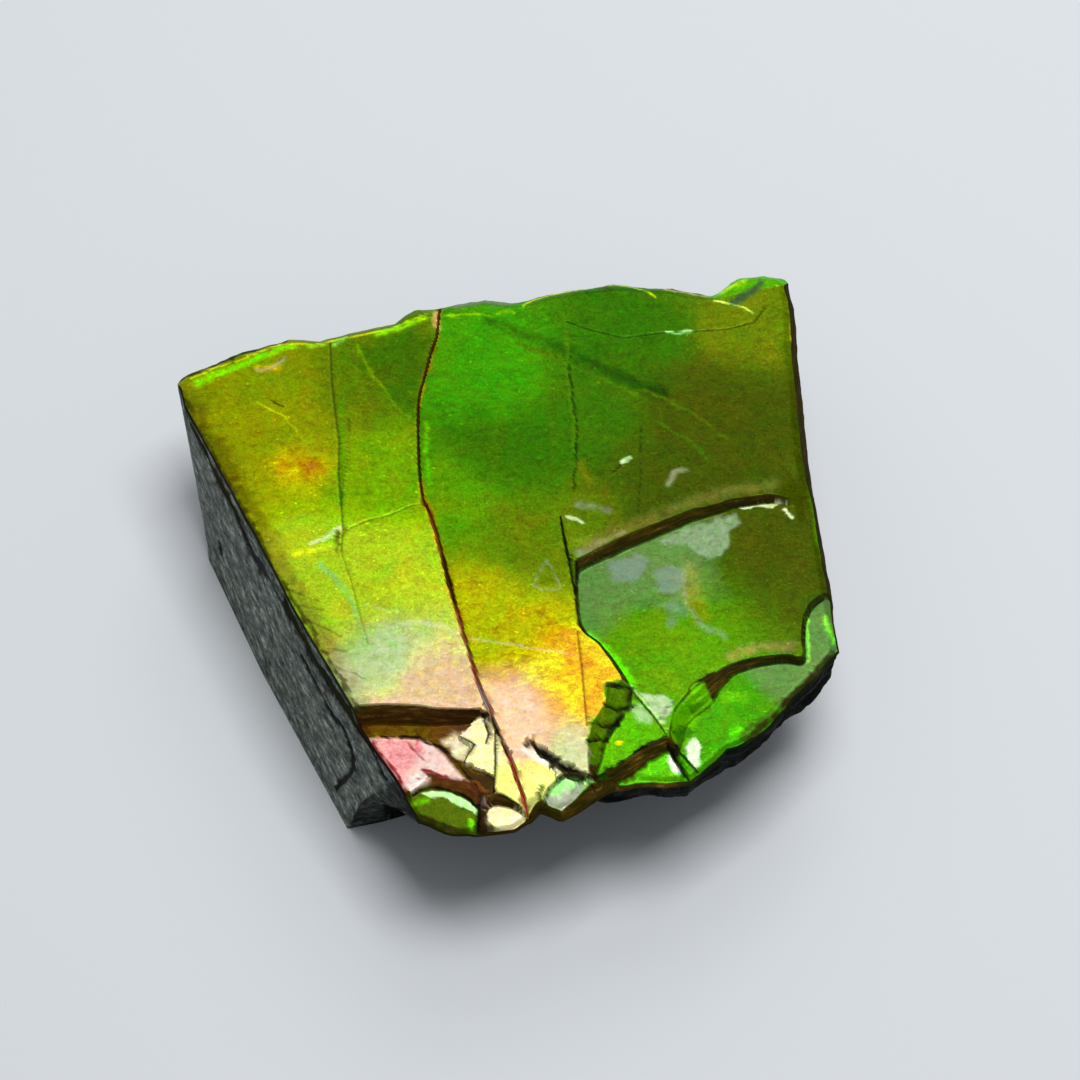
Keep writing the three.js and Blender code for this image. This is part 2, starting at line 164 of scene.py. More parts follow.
# %% Flakes
# floor: height, slope along x and slope along y of the bared sheet
FLAKES = {
    "middle": dict(
        floor=(11.05, -0.012, 0.004), tone=0.75,
        brink=[[20.9, 3.0], [18.4, 3.5], [16.4, 3.3], [14.4, 2.75], [12.4, 2.1], [9.8, 0.95],
               [7.8, 0.0], [6.3, -0.85], [5.1, -1.5], [4.75, -1.8], [4.7, -2.5], [4.75, -4.8],
               [4.9, -6.95], [6.2, -8.1], [7.2, -9.6], [8.0, -11.0], [6.8, -11.2], [6.8, -12.4],
               [6.15, -13.4], [5.7, -14.6], [5.5, -16.5], [5.6, -18.3]],
        foot=[[20.9, 2.4], [18.2, 3.0], [16.3, 2.8], [13.8, 1.95], [11.4, 0.85], [8.8, -0.45],
              [6.5, -1.6], [5.3, -2.25], [5.0, -2.5], [4.98, -3.2], [5.05, -4.8], [5.3, -6.75],
              [6.6, -7.9], [7.6, -9.4], [8.6, -11.1], [8.5, -12.1], [8.0, -12.9], [7.6, -13.9],
              [6.9, -15.0], [6.5, -16.4], [6.1, -18.3]],
        past=[[6.0, -25], [26, -25], [26, 3.0]]),
    "lower_right": dict(
        floor=(10.5, -0.01, 0.02), tone=0.7,
        brink=[[22.4, -3.3], [21.4, -3.75], [20.4, -4.4], [19.9, -5.3], [19.7, -6.3], [19.7, -7.7],
               [19.85, -8.75], [18.7, -8.4], [17.3, -8.5], [16.0, -8.8], [14.7, -9.3], [13.7, -10.0],
               [12.8, -10.7], [11.9, -11.5], [11.2, -12.6], [10.8, -14.4]],
        foot=[[22.4, -3.6], [21.5, -4.0], [20.65, -4.65], [20.2, -5.4], [20.05, -6.3], [20.0, -7.7],
              [20.0, -9.15], [18.7, -8.85], [17.4, -9.0], [16.2, -9.35], [15.1, -9.95], [14.4, -10.8],
              [13.8, -12.0], [12.7, -12.8], [12.0, -13.6], [11.8, -14.8]],
        past=[[11.4, -16.4], [12.6, -25], [26, -25], [26, -4.0]]),
    "terrace": dict(
        floor=(11.0, 0.01, 0.03), tone=0.62,
        brink=[[-1.2, -12.8], [-2.4, -12.9], [-3.9, -12.9], [-5.6, -12.6], [-7.6, -12.5],
               [-9.6, -12.6]],
        foot=[[-1.3, -13.2], [-2.6, -13.8], [-4.1, -13.8], [-5.7, -13.8], [-7.6, -13.7],
              [-9.2, -13.8]],
        past=[[-14, -13.8], [-14, -25], [-1.1, -25], [-1.0, -19.1], [-0.5, -18.7], [-0.6, -17.5],
              [-1.4, -17.1], [-2.5, -16.6], [-2.0, -15.4], [-2.9, -14.7]]),
    "cream_plate": dict(
        floor=(11.3, 0.02, 0.06), tone=0.4,
        brink=[[0.2, -15.4], [-0.3, -14.5], [-0.9, -13.0], [-1.6, -12.95]],
        foot=[[0.1, -15.6], [-0.4, -14.7], [-0.95, -13.5], [-1.6, -13.5]],
        past=[[-2.9, -14.2], [-3.7, -15.0], [-3.4, -16.2], [-2.6, -17.0], [-1.4, -25], [1.9, -25],
              [1.7, -20.6], [1.1, -18.6]]),
    "pink_plate": dict(
        floor=(10.8, 0.0, 0.0), tone=0.5,
        brink=[[-1.0, -18.9], [-1.9, -18.0], [-2.5, -17.4], [-3.2, -16.4], [-3.8, -15.6],
               [-4.7, -14.9], [-5.6, -14.5], [-8.4, -14.5]],
        foot=[[-1.0, -19.1], [-2.0, -18.2], [-2.7, -17.5], [-3.4, -16.5], [-3.9, -15.8],
              [-4.8, -15.1], [-5.7, -14.7], [-8.4, -14.7]],
        past=[[-14, -14.7], [-14, -25], [-0.95, -25]]),
    "green_lens": dict(
        floor=(10.45, 0.0, 0.06), tone=0.7,
        brink=[[-1.3, -18.9], [-1.8, -18.1], [-2.5, -17.8], [-3.3, -17.7], [-4.0, -17.4],
               [-4.8, -17.2], [-5.3, -17.9], [-6.0, -18.5]],
        foot=[[-1.6, -19.7], [-2.0, -19.1], [-2.7, -18.7], [-3.6, -18.4], [-4.5, -18.3],
              [-5.3, -18.4], [-6.0, -18.9]],
        past=[[-12, -19.2], [-12, -25], [-1.5, -25]]),
    "nose": dict(
        floor=(11.78, 0.0, 0.23), tone=0.4,
        brink=[[3.3, -16.5], [1.8, -16.0], [0.4, -15.9]],
        foot=[[3.3, -16.6], [1.8, -16.1], [0.4, -16.0]],
        past=[[1.2, -19.0], [1.7, -25], [4.5, -25]]),
    "cream_lens": dict(
        floor=(10.5, 0.0, 0.05), tone=0.7,
        brink=[[1.5, -20.0], [1.0, -19.4], [0.1, -18.8], [-0.7, -18.6], [-1.0, -19.3]],
        foot=[[1.6, -20.3], [0.9, -19.8], [0.1, -19.5], [-0.7, -19.5], [-1.0, -20.0]],
        past=[[-1.0, -25], [1.5, -25]]),
    "pale_lens": dict(
        floor=(11.2, -0.02, 0.32), tone=0.6,
        brink=[[6.0, -17.8], [5.2, -17.5], [4.2, -17.3], [3.1, -18.2], [2.6, -19.0], [2.6, -19.8]],
        foot=[[6.0, -17.9], [5.2, -17.7], [4.2, -17.6], [3.3, -18.4], [2.9, -19.1], [2.8, -19.9]],
        past=[[2.8, -25], [6.2, -25]]),
    "front_wedge": dict(
        floor=(10.35, 0.03, 0.12), tone=0.95,
        brink=[[12.7, -17.1], [11.2, -15.2], [10.7, -14.7], [9.8, -15.0], [8.2, -16.1],
               [6.9, -17.1], [5.9, -17.8]],
        foot=[[12.6, -17.5], [11.2, -15.9], [10.7, -15.5], [9.8, -15.9], [8.5, -17.0],
              [7.4, -17.8], [6.6, -18.7]],
        past=[[6.6, -25], [12.8, -25]]),
    "back_right": dict(
        floor=(11.35, 0.02, -0.22), tone=0.5,
        brink=[[13.6, 19.4], [14.6, 19.0], [16.0, 18.8], [16.9, 18.2], [19.9, 18.3]],
        foot=[[13.9, 19.7], [14.8, 19.3], [16.2, 19.1], [17.1, 18.6], [19.9, 18.7]],
        past=[[26, 18.6], [26, 26], [13.8, 26]]),
}
print(len(FLAKES), "flakes:", *FLAKES)

# %% Distances to lines and loops
def nearest_on(points, line):
    """Distance from each point to a line of corners, and the nearest point on it: the foot of the
    perpendicular on each segment, kept between its ends, and the nearest of those."""
    line = np.asarray(line, float)
    best = np.full(len(points), np.inf)
    foot = np.zeros_like(points)
    for start, stop in zip(line[:-1], line[1:]):
        run = stop - start
        t = np.clip((points - start) @ run / (run @ run), 0, 1)
        at = start + t[:, None] * run
        away = np.hypot(*(points - at).T)
        nearer = away < best
        best[nearer] = away[nearer]
        foot[nearer] = at[nearer]
    return best, foot


def inside(points, loop):
    """True where a ray from the point crosses the closed loop an odd number of times."""
    x, y = points.T
    odd = np.zeros(len(points), bool)
    for (x0, y0), (x1, y1) in zip(loop, np.roll(loop, -1, axis=0)):
        if y0 != y1:
            odd ^= ((y0 > y) != (y1 > y)) & (x < x0 + (y - y0) * (x1 - x0) / (y1 - y0))
    return odd


def depth_inside(points, loop):
    """Distance to a closed loop, above zero inside it and below zero outside."""
    loop = np.asarray(loop, float)
    away, _ = nearest_on(points, np.vstack([loop, loop[:1]]))
    return np.where(inside(points, loop), away, -away)


def around(points, line, reach):
    """True for the points within `reach` mm of the upright box around a line: the only ones that the
    slower distance sums have to look at."""
    low, high = np.min(line, axis=0) - reach, np.max(line, axis=0) + reach
    return ((points > low) & (points < high)).all(axis=1)


def rounded(line):
    """A line with its corners cut: each side keeps the points at a quarter and three quarters of it,
    and the line keeps its ends."""
    line = np.asarray(line, float)
    near, far = line[:-1] * 0.75 + line[1:] * 0.25, line[:-1] * 0.25 + line[1:] * 0.75
    return np.vstack([line[:1], np.stack([near, far], 1).reshape(-1, 2)[1:-1], line[-1:]])


test_loop = [[0, 0], [4, 0], [4, 4], [0, 4]]
print("depth at the middle of a 4 mm square:", depth_inside(np.array([[2.0, 2.0]]), test_loop))

# %% Ragged ledges
LEDGE_SPACING = 0.35   # mm between the points of a ledge's line
LEDGE_WANDER = 0.07    # mm that a layer of noise pushes it to and fro


def ragged(line, seed):
    """A ledge's line: corners rounded, then evenly spaced points pushed to and fro by noise."""
    line = rounded(line)
    line = spread(line, int(np.hypot(*np.diff(line, axis=0).T).sum() / LEDGE_SPACING) + 2)
    return line + inward(line) * LEDGE_WANDER * rough(line, 0.9, 3, seed)[:, None]


LEDGES = {name: {key: ragged(flake[key], 50 + number) for key in ("brink", "foot")}
          for number, (name, flake) in enumerate(FLAKES.items())}
print("brink points:", sum(len(ledge["brink"]) for ledge in LEDGES.values()))

# %% [markdown]
# ## Cracks and hairlines
# One open crack runs from the back edge to the front tip, and finer ones branch through the plates.
# Each is a line with a half width and a depth, and cuts a rounded groove. Its stain is black where it
# is deep, for a dark filling and also as painted shade in the groove, and rust, rose or crimson where
# iron and thin nacre show. Stains are a number from 0 to 1 along a ramp of those colours, given at
# the start and the end of a crack or at chosen heights y.

# %% Cracks
# numbers of the stains; rose, at 0.6, shows only along the main crack
BLACK, BROWN, RUST, CRIMSON, LILAC = 0.0, 0.2, 0.4, 0.8, 1.0
MAIN_CRACK = [
    [-4.4, 19.0], [-4.5, 17.4], [-4.6, 15.9], [-5.1, 14.1], [-5.4, 12.5], [-5.7, 11.3], [-5.8, 10.3],
    [-5.8, 8.1], [-5.7, 5.7], [-5.6, 4.3], [-5.4, 2.9], [-4.9, 1.7], [-4.5, 0.4], [-4.2, -0.9],
    [-3.8, -2.6], [-3.4, -4.3], [-3.0, -5.8], [-2.6, -7.4], [-2.2, -8.8], [-1.8, -10.4],
    [-1.3, -11.9], [-0.8, -13.1], [-0.4, -14.3], [0.1, -15.5], [0.5, -16.4], [0.9, -17.7],
    [1.3, -18.9], [1.6, -20.0], [1.9, -21.3]]
CRACKS = {
    "main": dict(half=0.12, deep=0.45, stain=BROWN, line=MAIN_CRACK),
    "left_hairline": dict(half=0.08, deep=0.04, stain=BROWN, soil=0.6, line=[
        [-11.9, 15.4], [-11.7, 12.1], [-11.4, 9.6], [-11.1, 7.4], [-11.1, 4.9], [-10.9, 2.9],
        [-10.7, 0.5], [-10.8, -1.2]]),
    "left_hairline_end": dict(half=0.07, deep=0.02, stain=BROWN, soil=0.3, line=[
        [-10.8, -1.2], [-10.1, -3.4], [-9.5, -5.9], [-8.9, -8.1]]),
    "cross_hairline": dict(half=0.08, deep=0.03, stain=BROWN, soil=0.5, line=[
        [-10.6, 0.3], [-10.0, 0.8], [-8.9, 1.3], [-7.7, 1.6], [-6.1, 2.4], [-5.5, 2.4]]),
    # the black of the ledge seam is painted shade on the narrow riser of the ledge
    "ledge_seam": dict(half=0.09, deep=0.16, stain=BLACK, line=[
        [3.8, 1.5], [4.0, 0.2], [4.2, -1.0], [4.5, -2.6], [4.75, -4.4]]),
    "gold_hairline": dict(half=0.05, deep=0.05, stain=RUST, soil=0.6, line=[
        [4.9, -7.2], [5.2, -10.2], [5.5, -14.2]]),
    "front_hairline": dict(half=0.06, deep=0.08, stain=BROWN, soil=0.7, line=[
        [8.3, -11.0], [9.0, -12.0], [9.9, -13.2], [10.7, -14.5]]),
    "wedge_left": dict(half=0.2, deep=0.3, stain=BLACK, line=[
        [10.8, -15.2], [11.6, -16.5], [12.4, -17.8]]),
    "wedge_right": dict(half=0.06, deep=0.1, stain=BLACK, line=[[11.3, -15.1], [12.9, -17.0]]),
    "arc": dict(half=0.07, deep=0.05, stain=BLACK, soil=0.5, line=[
        [17.9, 18.4], [17.1, 17.2], [15.3, 16.6], [12.4, 16.3], [10.7, 16.2], [8.1, 15.8],
        [5.6, 16.5], [4.2, 17.1]]),
    "zigzag": dict(half=0.08, deep=0.12, stain=BLACK, line=[
        [-1.3, -13.2], [-0.9, -14.6], [-1.1, -15.2]]),
    "cream_crack": dict(half=0.06, deep=0.1, stain=BROWN, line=[
        [-2.8, -14.7], [-1.8, -15.3], [-2.5, -16.4]]),
    "sliver_crack": dict(half=0.07, deep=0.1, stain=BROWN, line=[
        [-0.5, -14.4], [-0.45, -16.6], [-0.55, -18.6]]),
}
# stain of the main crack at chosen y, and how many times its half width it is wide there
MAIN_STAIN = [
    (-21, 0.8), (-15.5, 0.8), (-14.5, 0.1), (-13.6, 0.1), (-12.8, 1.0), (-11.4, 0.95), (-9, 0.62),
    (-5.6, 0.5), (-4.6, 0.16), (-2.2, 0.16), (-0.5, 0.4), (1.5, 0.42), (3.2, 0.34), (4.6, 0.26),
    (19, 0.34)]
MAIN_WIDTH = [
    (-21, 1.3), (-16, 1.1), (-13.6, 0.8), (-12.4, 1.5), (-9, 0.9), (-5, 1.0), (-3.6, 1.8), (-2, 1.3),
    (0.5, 1.2), (2.6, 0.75), (19, 0.55)]
print(len(CRACKS), "cracks and hairlines")


# %% The groove of a crack
CRACK_REACH = 0.6   # mm, more than any crack's half width
THINNEST_CRACK = 0.02
TAPER = 1.0         # mm over which a crack thins towards its ends


def at_height(table, y):
    """Value of a table of (y, value) pairs at each y, on straight lines between the pairs."""
    heights, values = np.array(sorted(table)).T
    return np.interp(y, heights, values)


def groove(points, name):
    """Share of a crack's full depth at each point: 1 on the line, and 0 one half width away. It thins
    towards both ends of the line, and its sides wander a little."""
    crack = CRACKS[name]
    line = np.array(crack["line"])
    share = np.zeros(len(points))
    here = around(points, line, CRACK_REACH)
    away, at = nearest_on(points[here], line)
    to_end = np.minimum(np.hypot(*(at - line[0]).T), np.hypot(*(at - line[-1]).T))
    half = crack["half"] * (0.6 + 0.4 * ease(to_end, 0, TAPER))
    half *= 1 + 0.4 * noise(points[here], 0.45, 3)
    if name == "main":
        half *= at_height(MAIN_WIDTH, at[:, 1])
    half = np.maximum(half, THINNEST_CRACK)
    share[here] = 1 - ease(away, 0.3 * half, half)
    return share


print("share of the main crack's depth on its line:", groove(np.array(MAIN_CRACK[8:10]), "main"))

# %% [markdown]
# ## The height of every point
# The shell's outer face is a very shallow dome, the curve of the ammonite's whorl. Each flake lowers
# it in turn: between brink and foot by a break that falls in a few small steps, because the nacre
# tears sheet by sheet, and beyond the foot to the bared plane. What a flake would raise, it leaves.
# The same pass notes which sheet shows at each point, how much of it is torn edge and how brown that
# edge is, because the colour needs them. The edge is brown in the middle of the break and black
# towards its brink and its foot, which is painted shade. The upper sheet counts as two, left and
# right of the main crack, because the crack is also a border between colours.

# %% Height of the shell
DOME_CENTRE_X = -1.0
DOME_DROP = (0.0009, 0.0007)   # per square millimetre, across and along
# for each side: width of the bevel, and how far it drops
BEVELS = {"sawn": (0.25, 0.12), "front": (0.35, 0.2), "right": (0.45, 0.2), "back": (0.85, 0.55)}
# hollows: centre, reach along x and y, depth
HOLLOWS = [[20.4, 2.6, 1.3, 2.2, 0.75], [5.4, -0.9, 1.2, 0.7, 0.10], [-20.6, 11.6, 0.8, 0.8, 0.12]]
SHEETS = ["left", "right", *FLAKES]
SWELL = 0.025         # mm that the polished plates rise and fall
SINK = 0.03           # mm that keeps the swell under the highest point
FLAKE_SWELL = 0.015   # the same on a bared sheet


def dome(points):
    """The highest point less a drop that grows with the square of the distance, less the hollows,
    plus a soft swell."""
    x, y = points.T
    drop = DOME_DROP[0] * (x - DOME_CENTRE_X) ** 2 + DOME_DROP[1] * y**2
    for x0, y0, reach_x, reach_y, depth in HOLLOWS:
        drop = drop + depth * np.exp(-(((x - x0) / reach_x) ** 2) - ((y - y0) / reach_y) ** 2)
    return PLATE_Z - drop + SWELL * rough(points, 7.0, 3, 5) - SINK


def torn_section(t):
    """Section of a break: from 0 at the brink to 1 at the foot, in three shallow steps."""
    return np.clip(t + 0.045 * np.sin(6 * np.pi * t), 0, 1)


def shell_surface(points, sides):
    """Height in mm, number of the sheet that shows, share of torn edge and its tone, at each point."""
    height = dome(points)
    right_of_crack = MAIN_CRACK + [[1.9, -26], [26, -26], [26, 26], [-4.4, 26]]
    sheet = inside(points, right_of_crack).astype(int)
    torn, tone = np.zeros(len(points)), np.zeros(len(points))
    for number, (name, flake) in enumerate(FLAKES.items(), 2):
        brink, foot = (np.vstack([LEDGES[name][key], flake["past"]]) for key in ("brink", "foot"))
        here = around(points, brink, 0.3)
        spots = points[here]
        from_brink = depth_inside(spots, brink)
        from_foot = depth_inside(spots, foot)
        t = np.clip(from_brink / np.maximum(from_brink - from_foot, 1e-6), 0, 1)
        level, slope_x, slope_y = flake["floor"]
        x0, y0 = flake["foot"][0]
        bared = level + slope_x * (spots[:, 0] - x0) + slope_y * (spots[:, 1] - y0)
        bared += FLAKE_SWELL * rough(spots, 4.0, 3, 80 + number)
        fall = np.where(t > 0, height[here] - bared, 0)
        lowered = fall > 0
        height[here] = np.where(lowered, height[here] - fall * torn_section(t), height[here])
        edge = ease(t, 0, 0.1) * (1 - ease(t, 0.88, 1)) * ease(fall, 0.12, 0.4)
        torn[here] = np.where(lowered, np.maximum(edge, torn[here] * (1 - ease(t, 0.5, 1))), torn[here])
        # brown in the middle of the break, going black at its brink and foot: painted shade
        brown = flake["tone"] * (1 - ease(np.abs(t - 0.45), 0.22, 0.5))
        tone[here] = np.where(lowered & (edge > 0.05), brown, tone[here])
        sheet[here] = np.where(lowered & (t > 0.5), number, sheet[here])
    for side, (width, drop) in BEVELS.items():
        away, _ = nearest_on(points, sides[side])
        wide = width * (1 + 0.35 * noise(points, 2.5, 12))
        height -= drop * np.clip(1 - away / wide, 0, 1) ** 1.6
    return height, sheet, torn, tone


print("top of the dome in mm:", dome(np.array([[DOME_CENTRE_X, 0.0]])).round(2))

# %% [markdown]
# ## The colours of the nacre
# The colour of a sheet depends on how thick its aragonite layers are. So every point gets a
# `lamella` value, which later runs through a ramp from red, where the layers are thickest, over gold
# and green to blue-green. A brightness value says how bright the sheet's colour is; it also carries
# the flash of reflected light, painted in, with painted glints and painted shade. A haze value says
# how much milky white lies on it: partly a real bloom, and partly painted glare, the lamp's white
# reflection. Those three together are a tone, such as emerald or peach. Each sheet has some pools,
# and each pool pulls its surroundings towards its tone with a weight that falls off with distance.
# A slow noise bends the pools' outlines. So a few dozen places give the whole shell its colours,
# and marks of a definite shape come on top.

# %% Tones
# lamella, brightness and haze of each tone that nacre of this kind shows; the brightness carries
# painted flash of reflected light, the haze painted glare
TONES = {
    "pink": (0.05, 1.00, 0.25),
    "pale pink": (0.10, 0.95, 0.65),
    "rose white": (0.25, 0.90, 0.50),
    "peach": (0.30, 0.80, 0.40),
    "bronze": (0.30, 0.35, 0.00),
    "orange": (0.30, 0.75, 0.00),
    "orange gold": (0.35, 0.85, 0.05),
    "honey": (0.35, 0.85, 0.25),
    "cream": (0.40, 0.90, 0.55),
    "lemon": (0.45, 0.90, 0.30),
    "dull cream": (0.45, 0.65, 0.45),
    "gold": (0.45, 0.65, 0.00),
    "olive gold": (0.50, 0.55, 0.00),
    "olive": (0.55, 0.45, 0.00),
    "dark olive": (0.55, 0.30, 0.00),
    "lime": (0.55, 0.75, 0.05),
    "leaf green": (0.65, 0.60, 0.00),
    "moss": (0.60, 0.45, 0.00),
    "deep moss": (0.60, 0.35, 0.00),
    "milky green": (0.65, 0.70, 0.40),
    "fresh green": (0.70, 0.55, 0.00),
    "bottle green": (0.75, 0.40, 0.00),
    "dusty green": (0.75, 0.45, 0.10),
    "bright green": (0.80, 0.65, 0.00),
    "mint": (0.80, 1.00, 0.45),
    "dark emerald": (0.80, 0.40, 0.00),
    "emerald": (0.85, 0.55, 0.00),
}
print(len(TONES), "tones")

# %% Pools of colour
# where each tone lies on each sheet: x, y and reach in mm
POOLS = {
    "left": {
        "olive gold": [[-17, 9, 4]],
        "moss": [[-9, 12, 3]],
        "orange": [[-14, 5.5, 1.2]],
        "leaf green": [[-8, 5, 2.5]],
        "lime": [[-9.5, -3, 4]],
        "milky green": [[-8, -9, 1.8]],
        # the peach pool is nacre colour with painted glare of the lamp on it
        "peach": [[-5, -11.5, 2]],
    },
    "right": {
        "emerald": [[0, 12.5, 3]],
        "dark emerald": [[0.5, 7.5, 2.5], [9.5, 16, 2.5]],
        "fresh green": [[-3.5, 3, 2]],
        "bottle green": [[6, 11, 3]],
        "dark olive": [[14.5, 8, 4.5]],
        "olive": [[16.5, 17, 3]],
        "moss": [[2.5, -0.5, 2.5]],
        "gold": [[0, -6, 2.5]],
        "orange gold": [[5, -11, 2.5]],
        # the rose white pool is nacre colour with painted glare of the lamp on it
        "rose white": [[0.8, -13.5, 1.8]],
        "dull cream": [[4.5, -15.5, 1.5]],
    },
    "middle": {
        "dusty green": [[9, -2, 4]],
        "dark olive": [[18, 0, 3]],
        "fresh green": [[11, -8, 3]],
        "bright green": [[7.5, -15, 2]],
    },
    "lower_right": {"emerald": [[14, -13, 3]], "dusty green": [[19, -9, 2.5]]},
    "terrace": {"bronze": [[-4, -15, 3]]},
    "cream_plate": {"cream": [[-2, -16, 1.5]], "lemon": [[0.5, -18, 1]]},
    "pink_plate": {"pink": [[-6.5, -16, 1]], "pale pink": [[-4.5, -16.5, 1.5]]},
    "green_lens": {"deep moss": [[-3.5, -20, 2]]},
    "nose": {"honey": [[1.5, -17, 1]], "lemon": [[2.5, -18, 1]]},
    "cream_lens": {"cream": [[0.3, -20, 1]]},
    "pale_lens": {"mint": [[4, -19, 1]]},
    "front_wedge": {"bright green": [[10, -17, 1]]},
    "back_right": {"bright green": [[16, 20, 1]]},
}
print(sum(len(places) for pools in POOLS.values() for places in pools.values()), "pools")

# %% Blending the pools
BEND = 0.7           # mm that a layer of noise bends the pools' outlines
# thinnest haze that shows, and its gain; the haze is milky bloom and painted glare
THIN_HAZE_AND_GLARE = 0.035    # a thinner bloom than this doesn't show
HAZE_AND_GLARE_GAIN = 1.06


def blend_pools(points, pools):
    """Mean of the pools' tones, each weighted by 1 / (1 + (distance / reach)^2)^3."""
    pools = np.array([place + list(TONES[tone]) for tone in pools for place in pools[tone]])
    apart = points[:, None] - pools[None, :, :2]
    weight = (1 + (apart**2).sum(2) / pools[:, 2] ** 2) ** -3
    return (weight @ pools[:, 3:]) / weight.sum(1, keepdims=True)


def nacre_colour(points, sheet):
    """Lamella, glow and haze for each point, from the pools of the sheet that shows there."""
    bent = points + BEND * np.column_stack([rough(points, 3.0, 3, 6), rough(points, 3.0, 3, 7)])
    values = np.zeros((len(points), 3))
    for number, name in enumerate(SHEETS):
        here = sheet == number
        if here.any():
            values[here] = blend_pools(bent[here], POOLS[name])
    values[:, 2] = HAZE_AND_GLARE_GAIN * np.clip(values[:, 2] - THIN_HAZE_AND_GLARE, 0, 1)
    return values.T


origin_tone = nacre_colour(np.zeros((1, 2)), np.array([1])).ravel().round(2)
print("lamella, glow and haze at the origin, right of the crack:", origin_tone)
